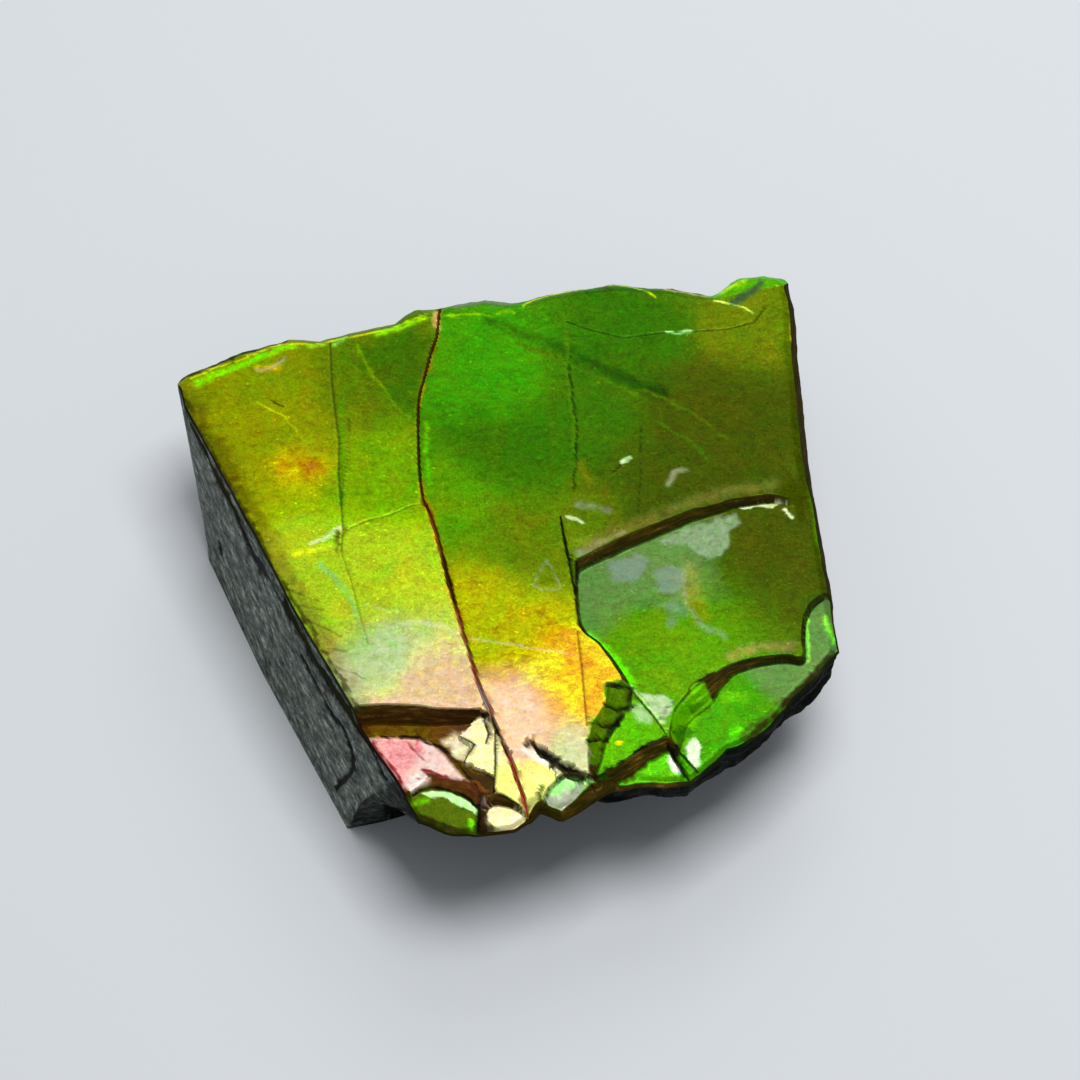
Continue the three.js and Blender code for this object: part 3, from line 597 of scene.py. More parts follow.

# %% [markdown]
# ### Marks
# On top of the pools lie marks of a definite shape: chips, folds, scratches and stains, and also
# painted light: highlights, glints and sheen laid in as brightness and haze, and painted shade laid
# in as dimming or black stain. A stroke is a line of some width, with a soft edge or a hard one, and
# a patch is a loop. Each pulls chosen values towards its own. `dim` scales the brightness, `stain`
# lays a stain of one of the crack colours, as much as `soil` says, and `lift` raises the surface, or
# cuts it where it is below zero. The order counts: patches come first, and each mark lies over those
# before it.

# %% Strokes of the back edge and right of the main crack
# width in mm, changes, lines
STROKES = [
    # along the back edge: dark outer strip; gold line and lime bevel, painted highlights of the bevel
    (0.55, dict(torn=0.95, tone=0.12), [[-22.1, 12.9], [-20.6, 13.55], [-17.9, 14.95], [-15.0, 15.95]]),
    (1.0, dict(lamella=0.78, glow=0.9), [[-20.9, 12.3], [-19.0, 13.15], [-17.7, 13.8], [-16.6, 14.4],
     [-15.4, 14.95], [-14.4, 15.2]]),
    (0.26, dict(lamella=0.48, glow=0.95, torn=0), [[-21.3, 12.7], [-20.5, 13.1], [-18.7, 13.9],
     [-17.1, 14.7], [-15.3, 15.45], [-13.6, 15.3], [-12.1, 15.5], [-10.2, 15.95], [-8.6, 16.3],
     [-7.3, 16.8], [-5.3, 17.7]]),
    (0.6, dict(lamella=0.66, glow=0.85), [[-13.4, 15.1], [-12.2, 15.3]]),
    (0.6, dict(lamella=0.82, glow=0.9, haze=0.1), [[-11.6, 15.2], [-10.9, 15.7]]),
    (1.0, dict(lamella=0.36, glow=0.68), [[-16.8, 13.4], [-15.6, 13.4]]),
    (0.3, dict(haze=0.2), [[-16.9, 13.2], [-16.0, 13.3], [-15.0, 14.1]]),
    (0.7, dict(lamella=0.68, glow=0.9), [[-8.6, 16.0], [-6.9, 16.7], [-5.4, 17.4]]),
    (0.7, dict(lamella=0.26, glow=0.75, haze=0.15), [[-4.7, 17.8], [-4.6, 16.5]]),
    (1.0, dict(lamella=0.72, glow=0.42, haze=0.14), [[-3.3, 18.5], [-1.2, 18.9], [0.2, 18.5]]),
    (0.3, dict(lamella=0.62, glow=0.7), [[-4.0, 17.6], [-2.4, 17.7], [-0.8, 17.6], [0.6, 17.9]]),
    (0.22, dict(lamella=0.46, glow=0.9), [[1.2, 18.4], [2.0, 19.1], [3.0, 19.5], [5.0, 20.0], [7.4, 20.4],
     [8.6, 20.2], [9.8, 19.7], [10.4, 19.1]]),
    (0.3, dict(lamella=0.4, glow=0.7, haze=0.15), [[11.0, 20.0], [12.3, 19.8], [14.2, 19.3]]),
    (0.24, dict(lamella=0.5, glow=0.95, haze=0.15), [[14.4, 18.9], [16.0, 18.6], [16.9, 18.1]]),
    (0.8, dict(lamella=0.60, glow=0.9), [[14.8, 19.7], [15.6, 20.4], [16.4, 20.9]]),
    (1.0, dict(lamella=0.80, glow=0.26, haze=0.05), [[15.7, 18.9], [16.8, 19.7], [17.8, 20.7]]),
    (0.35, dict(lamella=0.45, glow=0.70), [[19.6, 18.4], [19.8, 15.0], [20.1, 11.0], [20.4, 6.6],
     [20.6, 4.4]]),
    # folds of the upper plate, right of the crack; the wide dimmed stroke is painted shade along a fold
    (1.6, dict(dim=0.76, lamella=0.80), [[-1.2, 17.3], [1.5, 15.9], [3.8, 14.9], [6.3, 13.5], [8.7, 12.3],
     [10.7, 11.2]]),
    (0.5, dict(lamella=0.70, glow=0.44), [[1.0, 15.2], [3.8, 14.0], [6.3, 12.6], [9.0, 11.2]]),
    (0.35, dict(glow=0.38, lamella=0.62), [[9.5, 11.6], [13.0, 9.5], [15.1, 7.7]]),
    (0.35, dict(glow=0.38, lamella=0.68), [[4.5, 14.2], [9.5, 9.5], [12.6, 7.5], [13.8, 6.0]]),
    (0.3, dict(glow=0.47, lamella=0.70), [[4.2, 16.9], [4.3, 14.3], [4.3, 11.8], [4.7, 8.3], [4.8, 6.6]]),
    (0.18, dict(dim=0.5), [[4.5, 14.3], [4.5, 11.8], [4.95, 8.3], [4.95, 6.6], [4.75, 3.6]]),
    (0.6, dict(glow=0.40, lamella=0.70), [[3.3, 10.0], [3.4, 7.6], [3.2, 5.0]]),
    (1.3, dict(lamella=0.50, glow=0.42), [[5.2, 5.6], [5.8, 4.4]]),
    # painted glints along the arc crack
    (0.3, dict(glow=0.8, lamella=0.84, haze=0.25), [[11.2, 16.2], [12.8, 16.4]]),
    (0.14, dict(dim=0.7), [[9.2, 8.3], [9.1, 5.2], [9.1, 1.5]]),
    (0.4, dict(glow=0.95, haze=0.75, lamella=0.8, lift=-0.05), [[7.9, 5.8], [8.5, 6.05]]),
    (0.16, dict(dim=0.5), [[7.9, 5.7], [7.2, 5.0]]),
    (0.6, dict(haze=0.20, glow=0.45), [[11.1, 4.1], [11.4, 5.0], [12.3, 5.2]]),
    (0.8, dict(haze=0.12, glow=0.42), [[4.9, 2.4], [5.9, 2.4], [7.0, 2.1]]),
    # painted highlight at the tip of the notch
    (0.3, dict(haze=0.55, glow=0.8), [[4.2, 1.5], [4.8, 1.4], [5.3, 1.15]]),
    # painted sheen along the brink of the middle flake, in this stroke and the next two
    (0.9, dict(haze=0.26, glow=0.45), [[5.1, -1.2], [6.2, -0.5]]),
    (1.7, dict(haze=0.02, glow=0.38, lamella=0.46), [[5.6, -0.8], [8.0, 0.5], [10.0, 1.5], [12.4, 2.7],
     [14.4, 3.4], [16.4, 3.9], [18.0, 4.2]]),
    (0.6, dict(haze=0.12, glow=0.45), [[5.2, -1.1], [6.4, -0.5], [8.0, 0.35]]),
    # painted highlights on the chips at the right end of that brink
    (0.25, dict(haze=0.7, glow=0.9, torn=0), [[18.3, 3.1], [18.9, 2.9]]),
    (0.3, dict(haze=0.7, glow=0.9), [[18.8, 2.5], [19.3, 1.9]]),
    (0.18, dict(haze=0.22), [[-2.2, -7.8], [1.1, -8.3], [5.0, -9.1]]),
    (0.2, dict(haze=0.14), [[2.8, -1.8], [3.6, -3.2], [3.7, -4.0], [2.6, -4.1], [2.0, -3.6],
     [2.8, -1.8]]),
    (0.5, dict(lamella=0.80, glow=0.70), [[-5.2, 9.0], [-5.2, 6.0], [-4.9, 4.0]]),
]
print(len(STROKES), "rows of strokes")

# %% Strokes along the main crack and left of it
STROKES += [
    # orange flanks of the main crack
    (0.6, dict(lamella=0.34), [[-4.4, 18.2], [-4.6, 15.9], [-5.4, 12.5], [-5.8, 10.0]]),
    (0.7, dict(lamella=0.30), [[-5.6, 4.3], [-4.9, 1.7], [-4.2, -0.9], [-3.4, -4.3], [-2.6, -7.4]]),
    # upper plate, left of the crack
    (2.2, dict(lamella=0.46, dim=0.72), [[-21.3, 11.2], [-19.9, 8.2], [-18.1, 4.6], [-16.4, 1.2],
     [-14.5, -2.6], [-12.4, -6.6], [-10.3, -10.4], [-9.2, -12.4]]),
    (0.35, dict(torn=0.8, tone=0.5), [[-21.7, 11.0], [-20.3, 8.0], [-18.6, 4.6], [-16.9, 1.2],
     [-15.0, -2.8], [-12.8, -6.8], [-10.7, -10.6], [-9.5, -12.6]]),
    (0.2, dict(soil=0.45, stain=BROWN), [[-14.3, -4.0], [-12.2, -4.9]], [[-13.6, -5.2], [-11.8, -5.6]],
     [[-12.9, -6.4], [-10.6, -7.6]], [[-12.1, -8.3], [-10.3, -8.7]], [[-11.3, -9.5], [-9.2, -10.6]]),
    (0.7, dict(lamella=0.72, glow=0.56), [[-11.0, 10.6], [-10.9, 5.2], [-10.8, 2.5]]),
    (0.14, dict(soil=0.5, stain=BROWN), [[-10.4, 9.2], [-10.6, 4.6], [-10.8, 3.0]]),
    (0.16, dict(dim=0.4), [[-15.8, 10.9], [-14.9, 10.3]]),
    (0.2, dict(glow=0.78, lamella=0.52), [[-16.7, 10.6], [-14.9, 9.6], [-13.4, 7.6]]),
    (0.3, dict(glow=0.56, lamella=0.66), [[-10.1, 15.2], [-9.0, 12.8], [-7.3, 10.3], [-6.0, 8.8]]),
    # painted highlight on a shallow chip
    (0.4, dict(haze=0.45, glow=0.9), [[-12.8, -0.5], [-11.7, 0.1], [-10.9, 0.8]]),
    (0.3, dict(soil=0.8, stain=BROWN), [[-11.1, 0.5], [-11.0, -1.2]]),
    (0.9, dict(lamella=0.50, glow=0.95), [[-13.8, -1.3], [-12.6, -0.9], [-11.5, -0.7]]),
    (0.6, dict(lamella=0.70, haze=0.15), [[-12.2, -2.1], [-11.3, -3.0], [-10.4, -4.2]]),
    (0.4, dict(lamella=0.68, haze=0.14), [[-10.2, -4.4], [-9.6, -6.4], [-9.0, -8.0]]),
    (0.5, dict(haze=0.36), [[-7.9, -7.6], [-7.1, -6.8], [-6.0, -6.5], [-3.8, -6.9], [-2.9, -7.6]]),
    (0.16, dict(haze=0.22), [[-9.3, -5.2], [-6.9, -5.9]]),
    (0.22, dict(haze=0.6, lamella=0.14, glow=0.95), [[-8.6, -12.4], [-6.5, -12.35], [-4.9, -12.5],
     [-3.4, -12.65], [-1.4, -12.6]]),
]
print(len(STROKES), "rows of strokes")

# %% Strokes of the middle and lower right plates
STROKES += [
    # middle plate
    (1.1, dict(lamella=0.84, glow=0.88), [[5.6, -7.1], [6.9, -8.3], [7.8, -9.6], [8.5, -10.8]]),
    (0.8, dict(haze=0.13), [[12.1, -1.8], [11.9, -3.4], [12.2, -5.0], [13.2, -6.4], [14.6, -7.2]]),
    # painted sheen: a tan band above the brink of the lower right flake
    (1.3, dict(haze=0.06, lamella=0.42), [[15.0, -8.6], [16.0, -8.2], [17.3, -7.9], [19.0, -7.9]]),
    (0.3, dict(haze=0.5, glow=0.8), [[15.8, 2.7], [17.4, 2.9], [18.3, 3.0]]),
    # black lines at the foot of the middle flake's break and between its small steps: painted shade
    (0.28, dict(soil=0.9, stain=BLACK), [[4.85, -1.9], [4.85, -4.8], [5.05, -6.8]]),
    (0.3, dict(soil=0.9, stain=BLACK, lift=-0.2), [[8.5, -11.1], [7.6, -11.2], [6.8, -11.2]]),
    (0.26, dict(soil=0.9, stain=BLACK, lift=-0.15), [[8.4, -12.4], [7.3, -12.9], [6.5, -12.6]],
     [[7.6, -13.8], [6.5, -14.2], [5.9, -14.0]]),
    (0.24, dict(soil=0.9, stain=BLACK, lift=-0.15), [[6.9, -15.0], [5.6, -15.3]]),
    (0.22, dict(soil=0.8, stain=BLACK), [[8.5, -11.3], [8.3, -12.4], [7.5, -13.8], [6.8, -15.1]]),
    (0.35, dict(lamella=0.3, glow=0.9), [[7.5, -15.1], [7.7, -15.05]]),
    (0.4, dict(lamella=0.80, glow=0.80), [[20.15, -5.4], [20.1, -7.2], [20.2, -8.6]]),
    # painted glints on the right edge, in this stroke and the next
    (0.5, dict(lamella=0.82, glow=0.9), [[21.5, -0.8], [21.6, -3.0]]),
    (0.7, dict(lamella=0.82, glow=0.95), [[21.4, -5.4], [21.9, -7.2]]),
    (0.7, dict(lamella=0.70, glow=0.48), [[20.6, 5.0], [20.9, 1.0], [21.2, -1.0]]),
    # lower right plate: facets and its brown rim
    (1.2, dict(lamella=0.78, glow=0.66), [[14.6, -11.4], [15.8, -11.2]]),
    (0.8, dict(lamella=0.88, glow=0.85), [[15.0, -14.0], [15.5, -13.7]]),
    (0.9, dict(soil=0.6, stain=BROWN), [[15.8, -14.2], [17.2, -13.1], [18.6, -11.7]]),
    (0.5, dict(soil=0.8, stain=BROWN), [[18.6, -11.7], [20.6, -9.5], [21.8, -8.0]]),
    (0.35, dict(torn=0.8, tone=0.8), [[22.1, -7.9], [21.2, -9.0], [19.7, -10.5], [17.6, -12.8],
     [15.9, -14.4]]),
]
print(len(STROKES), "rows of strokes")

# %% Strokes of the front plates
STROKES += [
    # the brown bar along the front break, with a black upper border that is painted shade in the gap
    (1.0, dict(torn=1, tone=0.95, soil=0, lift=0.08), [[2.2, -20.4], [3.0, -20.5], [3.8, -20.6],
     [4.6, -20.1], [5.6, -18.9], [7.1, -17.6], [8.3, -16.6], [9.8, -15.5], [10.7, -15.1]]),
    (0.2, dict(soil=0.9, stain=BLACK), [[5.9, -17.8], [6.9, -17.1], [8.2, -16.1], [9.8, -15.0],
     [10.7, -14.6]]),
    (0.26, dict(haze=0.4, glow=0.85), [[8.4, -10.9], [8.9, -11.7], [9.9, -12.7], [10.7, -14.1]]),
    (0.2, dict(soil=0.7, stain=BROWN), [[10.3, -13.4], [10.6, -12.5], [11.1, -12.1]]),
    (0.2, dict(soil=0.75, stain=BROWN), [[12.4, -10.8], [11.9, -11.7], [11.2, -12.6]]),
    # front plates: crimson edge, dark border and red curl of the pink plate
    (0.28, dict(soil=0.95, stain=CRIMSON), [[-8.5, -14.8], [-8.05, -15.5], [-7.55, -16.3], [-7.0, -17.1],
     [-6.65, -17.7], [-6.3, -18.4]]),
    (0.26, dict(soil=0.95, stain=BLACK), [[-8.0, -14.5], [-6.8, -14.5], [-5.7, -14.6], [-4.8, -15.0],
     [-4.1, -15.4], [-3.4, -16.0], [-2.8, -16.6], [-2.3, -17.4], [-1.7, -18.1]]),
    (0.24, dict(soil=0.8, stain=CRIMSON), [[-6.1, -15.0], [-5.8, -15.4], [-5.5, -15.8], [-5.2, -16.1]]),
    (0.2, dict(soil=0.8, stain=CRIMSON), [[-5.5, -17.6], [-4.9, -17.5]]),
    # the brown break below it, with a red upper border and a black lower one, painted shade at its foot
    (0.2, dict(soil=0.8, stain=CRIMSON), [[-5.2, -16.9], [-4.6, -17.0], [-3.9, -17.4], [-3.4, -17.5]]),
    (0.25, dict(soil=0.4, stain=RUST), [[-3.4, -17.5], [-2.5, -17.7], [-1.7, -18.0], [-1.3, -18.6]]),
    (0.24, dict(soil=0.95, stain=BLACK), [[-6.0, -18.8], [-5.3, -18.3], [-4.5, -18.1], [-3.6, -18.3],
     [-2.6, -18.6], [-2.0, -19.0], [-1.5, -19.7]]),
    # green lens
    (0.7, dict(lamella=0.80, glow=0.66), [[-5.7, -19.2], [-4.9, -18.9]]),
    (0.5, dict(lamella=0.82, glow=0.85), [[-2.1, -20.4], [-1.9, -21.0]]),
    (0.5, dict(torn=0.9, tone=0.35), [[-5.7, -20.0], [-4.6, -20.5], [-3.8, -20.8], [-3.0, -21.1],
     [-2.3, -21.3]]),
    (0.75, dict(soil=0.85, stain=BROWN), [[-1.25, -18.9], [-1.25, -20.1], [-1.3, -21.4]]),
    (0.18, dict(soil=0.9, stain=BLACK), [[-1.5, -19.4], [-1.55, -20.2], [-1.55, -21.4]]),
    # cream lens and the tip
    (0.9, dict(torn=0.95, tone=0.35), [[-1.4, -20.9], [-0.5, -21.2], [0.3, -21.45], [1.3, -21.1],
     [2.1, -20.6]]),
    (0.35, dict(torn=0.9, tone=0.3), [[2.6, -18.3], [2.4, -19.3], [2.1, -20.2]]),
    # a black cut along the jagged crack: painted shade inside it
    (0.32, dict(soil=1, stain=BLACK, lift=-0.15), [[1.9, -15.3], [2.4, -16.0], [3.3, -16.6], [4.2, -17.2],
     [5.2, -17.7]]),
    # pale lens: outline and streaks
    (0.24, dict(soil=0.8, stain=BROWN), [[2.7, -19.5], [3.1, -18.4], [4.2, -17.5], [5.8, -17.8]]),
    (0.2, dict(soil=0.35, stain=BROWN), [[3.2, -19.3], [4.2, -18.6], [5.0, -18.2]]),
    (0.2, dict(soil=0.3, stain=BROWN), [[3.5, -19.8], [4.5, -19.0]]),
]
print(sum(len(lines) for _, _, *lines in STROKES), "strokes")

# %% Patches
# soft edge in mm, changes, loop
PATCHES = [
    (1.0, dict(dim=0.86, lamella=0.68), [[-10.0, 15.0], [-8.9, 12.6], [-7.2, 10.2], [-5.9, 8.9],
     [-5.4, 12.5], [-5.0, 15.6], [-7.4, 16.0]]),
    (0.4, dict(haze=0.24, glow=0.46, lamella=0.84), [[10.2, 0.0], [12.1, 0.9], [13.9, 1.7], [15.6, 2.3],
     [15.9, 1.5], [15.2, 0.6], [15.0, -0.4], [13.9, -1.2], [12.8, -1.0], [12.2, -0.2], [11.0, -0.3]]),
    (0.5, dict(soil=0.36, stain=LILAC), [[7.0, -1.8], [8.8, -0.7], [9.9, -1.2], [9.6, -2.3], [8.3, -3.2],
     [7.2, -3.0]]),
    (0.5, dict(soil=0.34, stain=LILAC), [[9.9, -2.0], [11.3, -1.5], [12.0, -2.6], [11.4, -4.0],
     [10.2, -3.9]]),
    (0.9, dict(soil=0.26, stain=LILAC), [[10.3, -4.7], [11.6, -4.3], [12.0, -5.4], [11.0, -6.1]]),
    (1.0, dict(lamella=0.52, glow=0.50), [[12.3, -1.5], [13.4, -2.2], [13.2, -4.2], [13.6, -6.0],
     [12.6, -6.2], [12.1, -4.4], [11.9, -2.6]]),
    # the jagged opening above the pale lens, black with painted shade, and white splinters as painted
    # highlights
    (0.2, dict(haze=0.95, glow=1.0), [[1.3, -15.7], [1.8, -15.8], [2.4, -16.3], [3.1, -17.0],
     [3.5, -17.3], [3.0, -17.3], [2.4, -16.8], [1.6, -16.3]]),
    (0.08, dict(soil=0.95, stain=BLACK, lift=-0.3), [[2.0, -14.8], [2.1, -15.5], [2.6, -15.8],
     [3.0, -16.0], [3.4, -16.3], [3.8, -16.3], [3.6, -16.6], [4.0, -16.8], [4.7, -17.0], [4.5, -17.3],
     [5.0, -17.6], [5.8, -18.1], [5.1, -18.0], [4.2, -17.8], [3.9, -17.5], [3.4, -17.1], [2.9, -17.2],
     [3.1, -16.8], [2.5, -16.5], [2.2, -16.2], [2.0, -15.7]]),
    (0.08, dict(soil=0.9, stain=BLACK, lift=-0.15), [[1.6, -14.8], [1.8, -15.2], [1.9, -15.6],
     [1.6, -15.8], [1.3, -15.5], [1.6, -15.4]]),
    # whitish bloom beside the front hairline
    (0.15, dict(haze=0.42, glow=0.66), [[9.1, -11.6], [10.6, -11.6], [11.2, -12.0], [10.9, -12.7],
     [10.4, -13.6], [9.9, -12.9], [9.8, -12.3]]),
    (0.3, dict(haze=0.34, glow=0.68), [[8.2, -12.3], [8.9, -12.3], [9.8, -13.2], [9.7, -13.7],
     [8.9, -13.6], [8.4, -13.0]]),
    # dark green blocks of the middle ledge, and facets of the lower one
    (0.12, dict(lamella=0.68, glow=0.47, torn=0.05, haze=0), [[6.8, -11.0], [8.4, -10.7], [8.1, -11.6],
     [8.0, -12.3], [7.7, -13.0], [7.3, -13.7], [6.6, -14.4], [6.4, -15.8], [6.2, -16.9], [5.6, -17.0],
     [5.5, -15.5], [5.7, -14.1], [6.0, -13.6], [6.6, -12.7], [6.7, -11.9]]),
    (0.2, dict(torn=0.0, lamella=0.76, glow=0.62, haze=0.0), [[12.3, -10.9], [13.2, -10.6], [13.8, -11.7],
     [13.9, -12.3], [12.7, -13.1], [12.2, -14.9], [11.3, -15.0], [10.8, -14.4], [11.2, -12.8],
     [11.8, -11.6]]),
    (0.15, dict(lamella=0.76, glow=0.48), [[12.7, -11.9], [13.6, -11.8], [13.8, -12.4], [12.9, -12.8],
     [12.2, -12.6]]),
    (0.15, dict(lamella=0.84, glow=0.44), [[10.9, -14.2], [11.4, -13.7], [12.1, -13.5], [12.5, -13.9],
     [12.1, -14.5], [11.6, -15.0]]),
    (0.12, dict(torn=1, tone=0.7), [[12.2, -10.7], [13.3, -10.5], [13.9, -11.5], [14.2, -10.9],
     [15.0, -10.1], [14.2, -9.8]]),
    # white and green facets on both sides of the wedge's crack; the white is painted highlight
    (0.15, dict(haze=0.8, glow=0.84), [[11.9, -15.1], [12.4, -14.3], [12.9, -15.0], [12.9, -15.8],
     [12.7, -16.7], [12.2, -15.8]]),
    (0.15, dict(lamella=0.84, glow=0.64, haze=0), [[8.8, -16.9], [9.8, -16.1], [10.6, -15.5],
     [10.9, -16.2], [10.6, -16.8], [9.8, -17.0]]),
    (0.2, dict(haze=0.85, glow=0.95), [[10.9, -15.5], [11.6, -16.3], [11.8, -16.9], [10.9, -17.0]]),
    # pale lens: mint above, white and streaked below
    (0.2, dict(haze=0.75, glow=0.78, lamella=0.7), [[2.9, -18.9], [3.8, -18.8], [4.2, -18.4],
     [5.1, -18.1], [4.8, -19.0], [3.9, -19.9], [3.0, -19.6]]),
    (0.2, dict(haze=0.4, glow=1.0, lamella=0.9), [[3.0, -18.7], [4.2, -17.6], [5.0, -17.8], [5.1, -18.1],
     [4.2, -18.4], [3.8, -18.8]]),
    (0.6, dict(haze=0.7, glow=0.85, lamella=0.44, torn=0), [[-4.0, -14.8], [-3.1, -14.4], [-2.5, -14.4],
     [-2.0, -15.1], [-2.2, -15.5], [-2.5, -16.3], [-3.1, -15.9], [-3.7, -15.3]]),
    # front plates: red blot, white chip, brown break and the lens's mint rim, a painted highlight
    (0.4, dict(lamella=0.0, haze=0.1), [[-5.7, -14.7], [-5.2, -14.8], [-5.3, -15.6], [-5.6, -15.4]]),
    (0.1, dict(haze=0.95, glow=0.95), [[-6.1, -17.5], [-5.6, -17.1], [-5.2, -17.0], [-4.9, -17.4],
     [-4.8, -17.8], [-5.3, -18.2], [-5.9, -18.8], [-6.0, -18.2]]),
    (0.15, dict(torn=1, tone=1, soil=0.2, stain=RUST), [[-5.2, -16.9], [-4.6, -17.0], [-3.9, -17.4],
     [-3.2, -17.7], [-2.5, -17.7], [-1.7, -18.0], [-1.2, -18.6], [-1.4, -19.6], [-1.9, -19.0],
     [-2.6, -18.6], [-3.6, -18.3], [-4.5, -18.2], [-4.9, -18.0], [-4.8, -17.5]]),
    (0.08, dict(haze=0.5, glow=1.0, lamella=0.9, torn=0), [[-5.2, -18.5], [-4.6, -18.3], [-3.7, -18.4],
     [-2.8, -18.7], [-2.1, -19.1], [-1.6, -19.7], [-1.7, -20.1], [-2.3, -19.5], [-2.8, -19.3],
     [-3.7, -18.9], [-4.4, -18.7]]),
    (0.3, dict(soil=0.85, stain=BROWN), [[-2.6, -16.7], [-1.4, -17.1], [-0.6, -17.5], [-0.6, -18.6],
     [-1.0, -18.8], [-1.7, -18.2]]),
]
print(len(PATCHES), "patches")


# %% How a mark covers the points
FINE_STROKE = 0.6                              # mm; a wider soft stroke fades from its middle line on
HARD_CORE, FINE_CORE, WIDE_CORE = 0.7, 0.3, 0.0  # share of the half width that is fully covered


def bent_by_noise(points):
    """The points pushed about by up to a quarter millimetre, so that a straight stroke looks natural."""
    push = [0.16 * noise(points, 0.9, 40 + k) + 0.09 * noise(points, 0.3, 42 + k) for k in (0, 1)]
    return points + np.column_stack(push)


def stroke_cover(points, line, width, hard):
    """1 on a line of some width and 0 at its border: a hard one for breaks and stains, a soft one for
    blooms and folds."""
    cover = np.zeros(len(points))
    here = around(points, line, width)
    away, _ = nearest_on(points[here], line)
    grainy = noise(points[here], 0.35, 14)
    half = 0.5 * width * (1 + 0.25 * grainy)
    core = HARD_CORE if hard else FINE_CORE if width < FINE_STROKE else WIDE_CORE
    cover[here] = (1 - ease(away, core * half, half)) * ease(grainy, -1.3, 0.2)
    return cover


def patch_cover(points, loop, soft):
    """1 inside a loop and 0 outside it, eased over `soft` mm and broken up by noise."""
    cover = np.zeros(len(points))
    here = around(points, loop, soft)
    depth = depth_inside(points[here], loop) + 0.7 * soft * rough(points[here], 0.8, 4, 15)
    cover[here] = ease(depth, -soft / 2, soft / 2)
    return cover


def lay(values, cover, changes):
    """Pulls the named values towards the mark's own by its cover; `dim` scales the brightness instead."""
    for name, target in changes.items():
        if name == "dim":
            values["glow"] *= 1 - cover * (1 - target)
        elif name == "stain":
            values["stain"] = np.where(cover > 0.01, target, values["stain"])
        else:
            values[name] += cover * (target - values[name])


mark_test = np.array([[0.0, 0.0], [0.0, 0.4], [0.0, 2.0]])
print("cover on a stroke and off it:", stroke_cover(mark_test, [[-1, 0], [1, 0]], 1.0, True).round(2))

# %% [markdown]
# ## One sheet of mesh for the whole slab
# The four sides span a Coons patch: the mix of the two ruled surfaces between opposite sides, less
# the bilinear patch of the corners. That gives an even grid of the slab's own shape. A ledge would
# cut through such a grid at odd angles and come out as a staircase, so grid points near a ledge, a
# crack or the edge are gathered towards it: their distance d shrinks to d (a + (1 - a) d / R) inside
# a reach R. The points crowd onto the line and the ledge comes out sharp with few triangles.

# %% Rings and grids
LEAN = {"sawn": 0.14, "right": 0.38, "back": -0.20}     # mm inward for each mm up the edge
FRONT_LEAN_X = [-5.4, 2.0, 3.6, 11.6, 13.0, 22.3]       # along the front the lean changes
FRONT_LEAN = [0.30, 0.30, 0.95, 0.95, 0.40, 0.40]
GATHER_REACH = 0.75
GATHER_SPACING = 0.13    # spacing at the line, as a share of the plain spacing

THIN_STROKE, DEEP_SOIL = 0.3, 0.7   # a stroke that is thinner and darker than this is gathered to
RING_PASSES = 12                    # how often a value that jumps at a corner is smoothed

ORDER = ["sawn", "front", "right", "back"]
rim_ring = np.vstack([rim[side][:-1] for side in ORDER])
ring_start = np.cumsum([0] + [len(rim[side]) - 1 for side in ORDER])


def smooth_ring(values, passes):
    """Each value becomes the mean of itself and its two neighbours, over and over, round the ring."""
    for _ in range(passes):
        values = (np.roll(values, 1, 0) + values + np.roll(values, -1, 0)) / 3
    return values


def side_of(ring, side):
    """The part of a ring that belongs to one side, both of its corners included."""
    k = ORDER.index(side)
    index = np.arange(ring_start[k], ring_start[k + 1] + 1) % len(ring)
    return ring[index]


def coons(left, right, back, front):
    """Back to front is v and left to right is u. Point = (1-v) back(u) + v front(u) + (1-u) left(v)
    + u right(v), less the four corners mixed by (1-u)(1-v), u(1-v), (1-u)v and uv."""
    u = np.linspace(0, 1, len(back))[None, :, None]
    v = np.linspace(0, 1, len(left))[:, None, None]
    ruled = (1 - v) * back[None] + v * front[None] + (1 - u) * left[:, None] + u * right[:, None]
    corners = ((1 - u) * (1 - v) * back[0] + u * (1 - v) * back[-1]
               + (1 - u) * v * front[0] + u * v * front[-1])
    return ruled - corners


def gather(points, lines):
    """Moves each point towards the nearest of the lines by the rule above."""
    best = np.full(len(points), np.inf)
    foot = points.copy()
    for line in lines:
        here = np.flatnonzero(around(points, line, GATHER_REACH))
        away, at = nearest_on(points[here], line)
        nearer = away < best[here]
        best[here[nearer]] = away[nearer]
        foot[here[nearer]] = at[nearer]
    pull = GATHER_SPACING + (1 - GATHER_SPACING) * np.clip(best / GATHER_REACH, 0, 1)
    return foot + (points - foot) * pull[:, None]


def side_values(ring_values):
    """One value for each ring point: the side's own, and the front's by its place along x."""
    parts = [np.interp(rim[side][:-1, 0], FRONT_LEAN_X, ring_values["front"]) if side == "front"
             else np.full(len(rim[side]) - 1, ring_values[side]) for side in ORDER]
    return smooth_ring(np.concatenate(parts), RING_PASSES)


print("ring of", len(rim_ring), "points round the slab")

# %% The grid over the slab
ring_along = np.roll(rim_ring, -1, 0) - np.roll(rim_ring, 1, 0)
ring_left = smooth_ring(np.column_stack([-ring_along[:, 1], ring_along[:, 0]]), RING_PASSES)
ring_inward = ring_left / np.hypot(*ring_left.T)[:, None]
lean_ring = side_values({**LEAN, "front": FRONT_LEAN})

rim_lines = {side: spread(rim[side], 40) for side in ORDER}
probe = rim_ring + 0.5 * ring_inward
edge_height = smooth_ring(shell_surface(probe, rim_lines)[0], 3)
brink_ring = rim_ring + ring_inward * (lean_ring * (edge_height - BED_Z))[:, None]

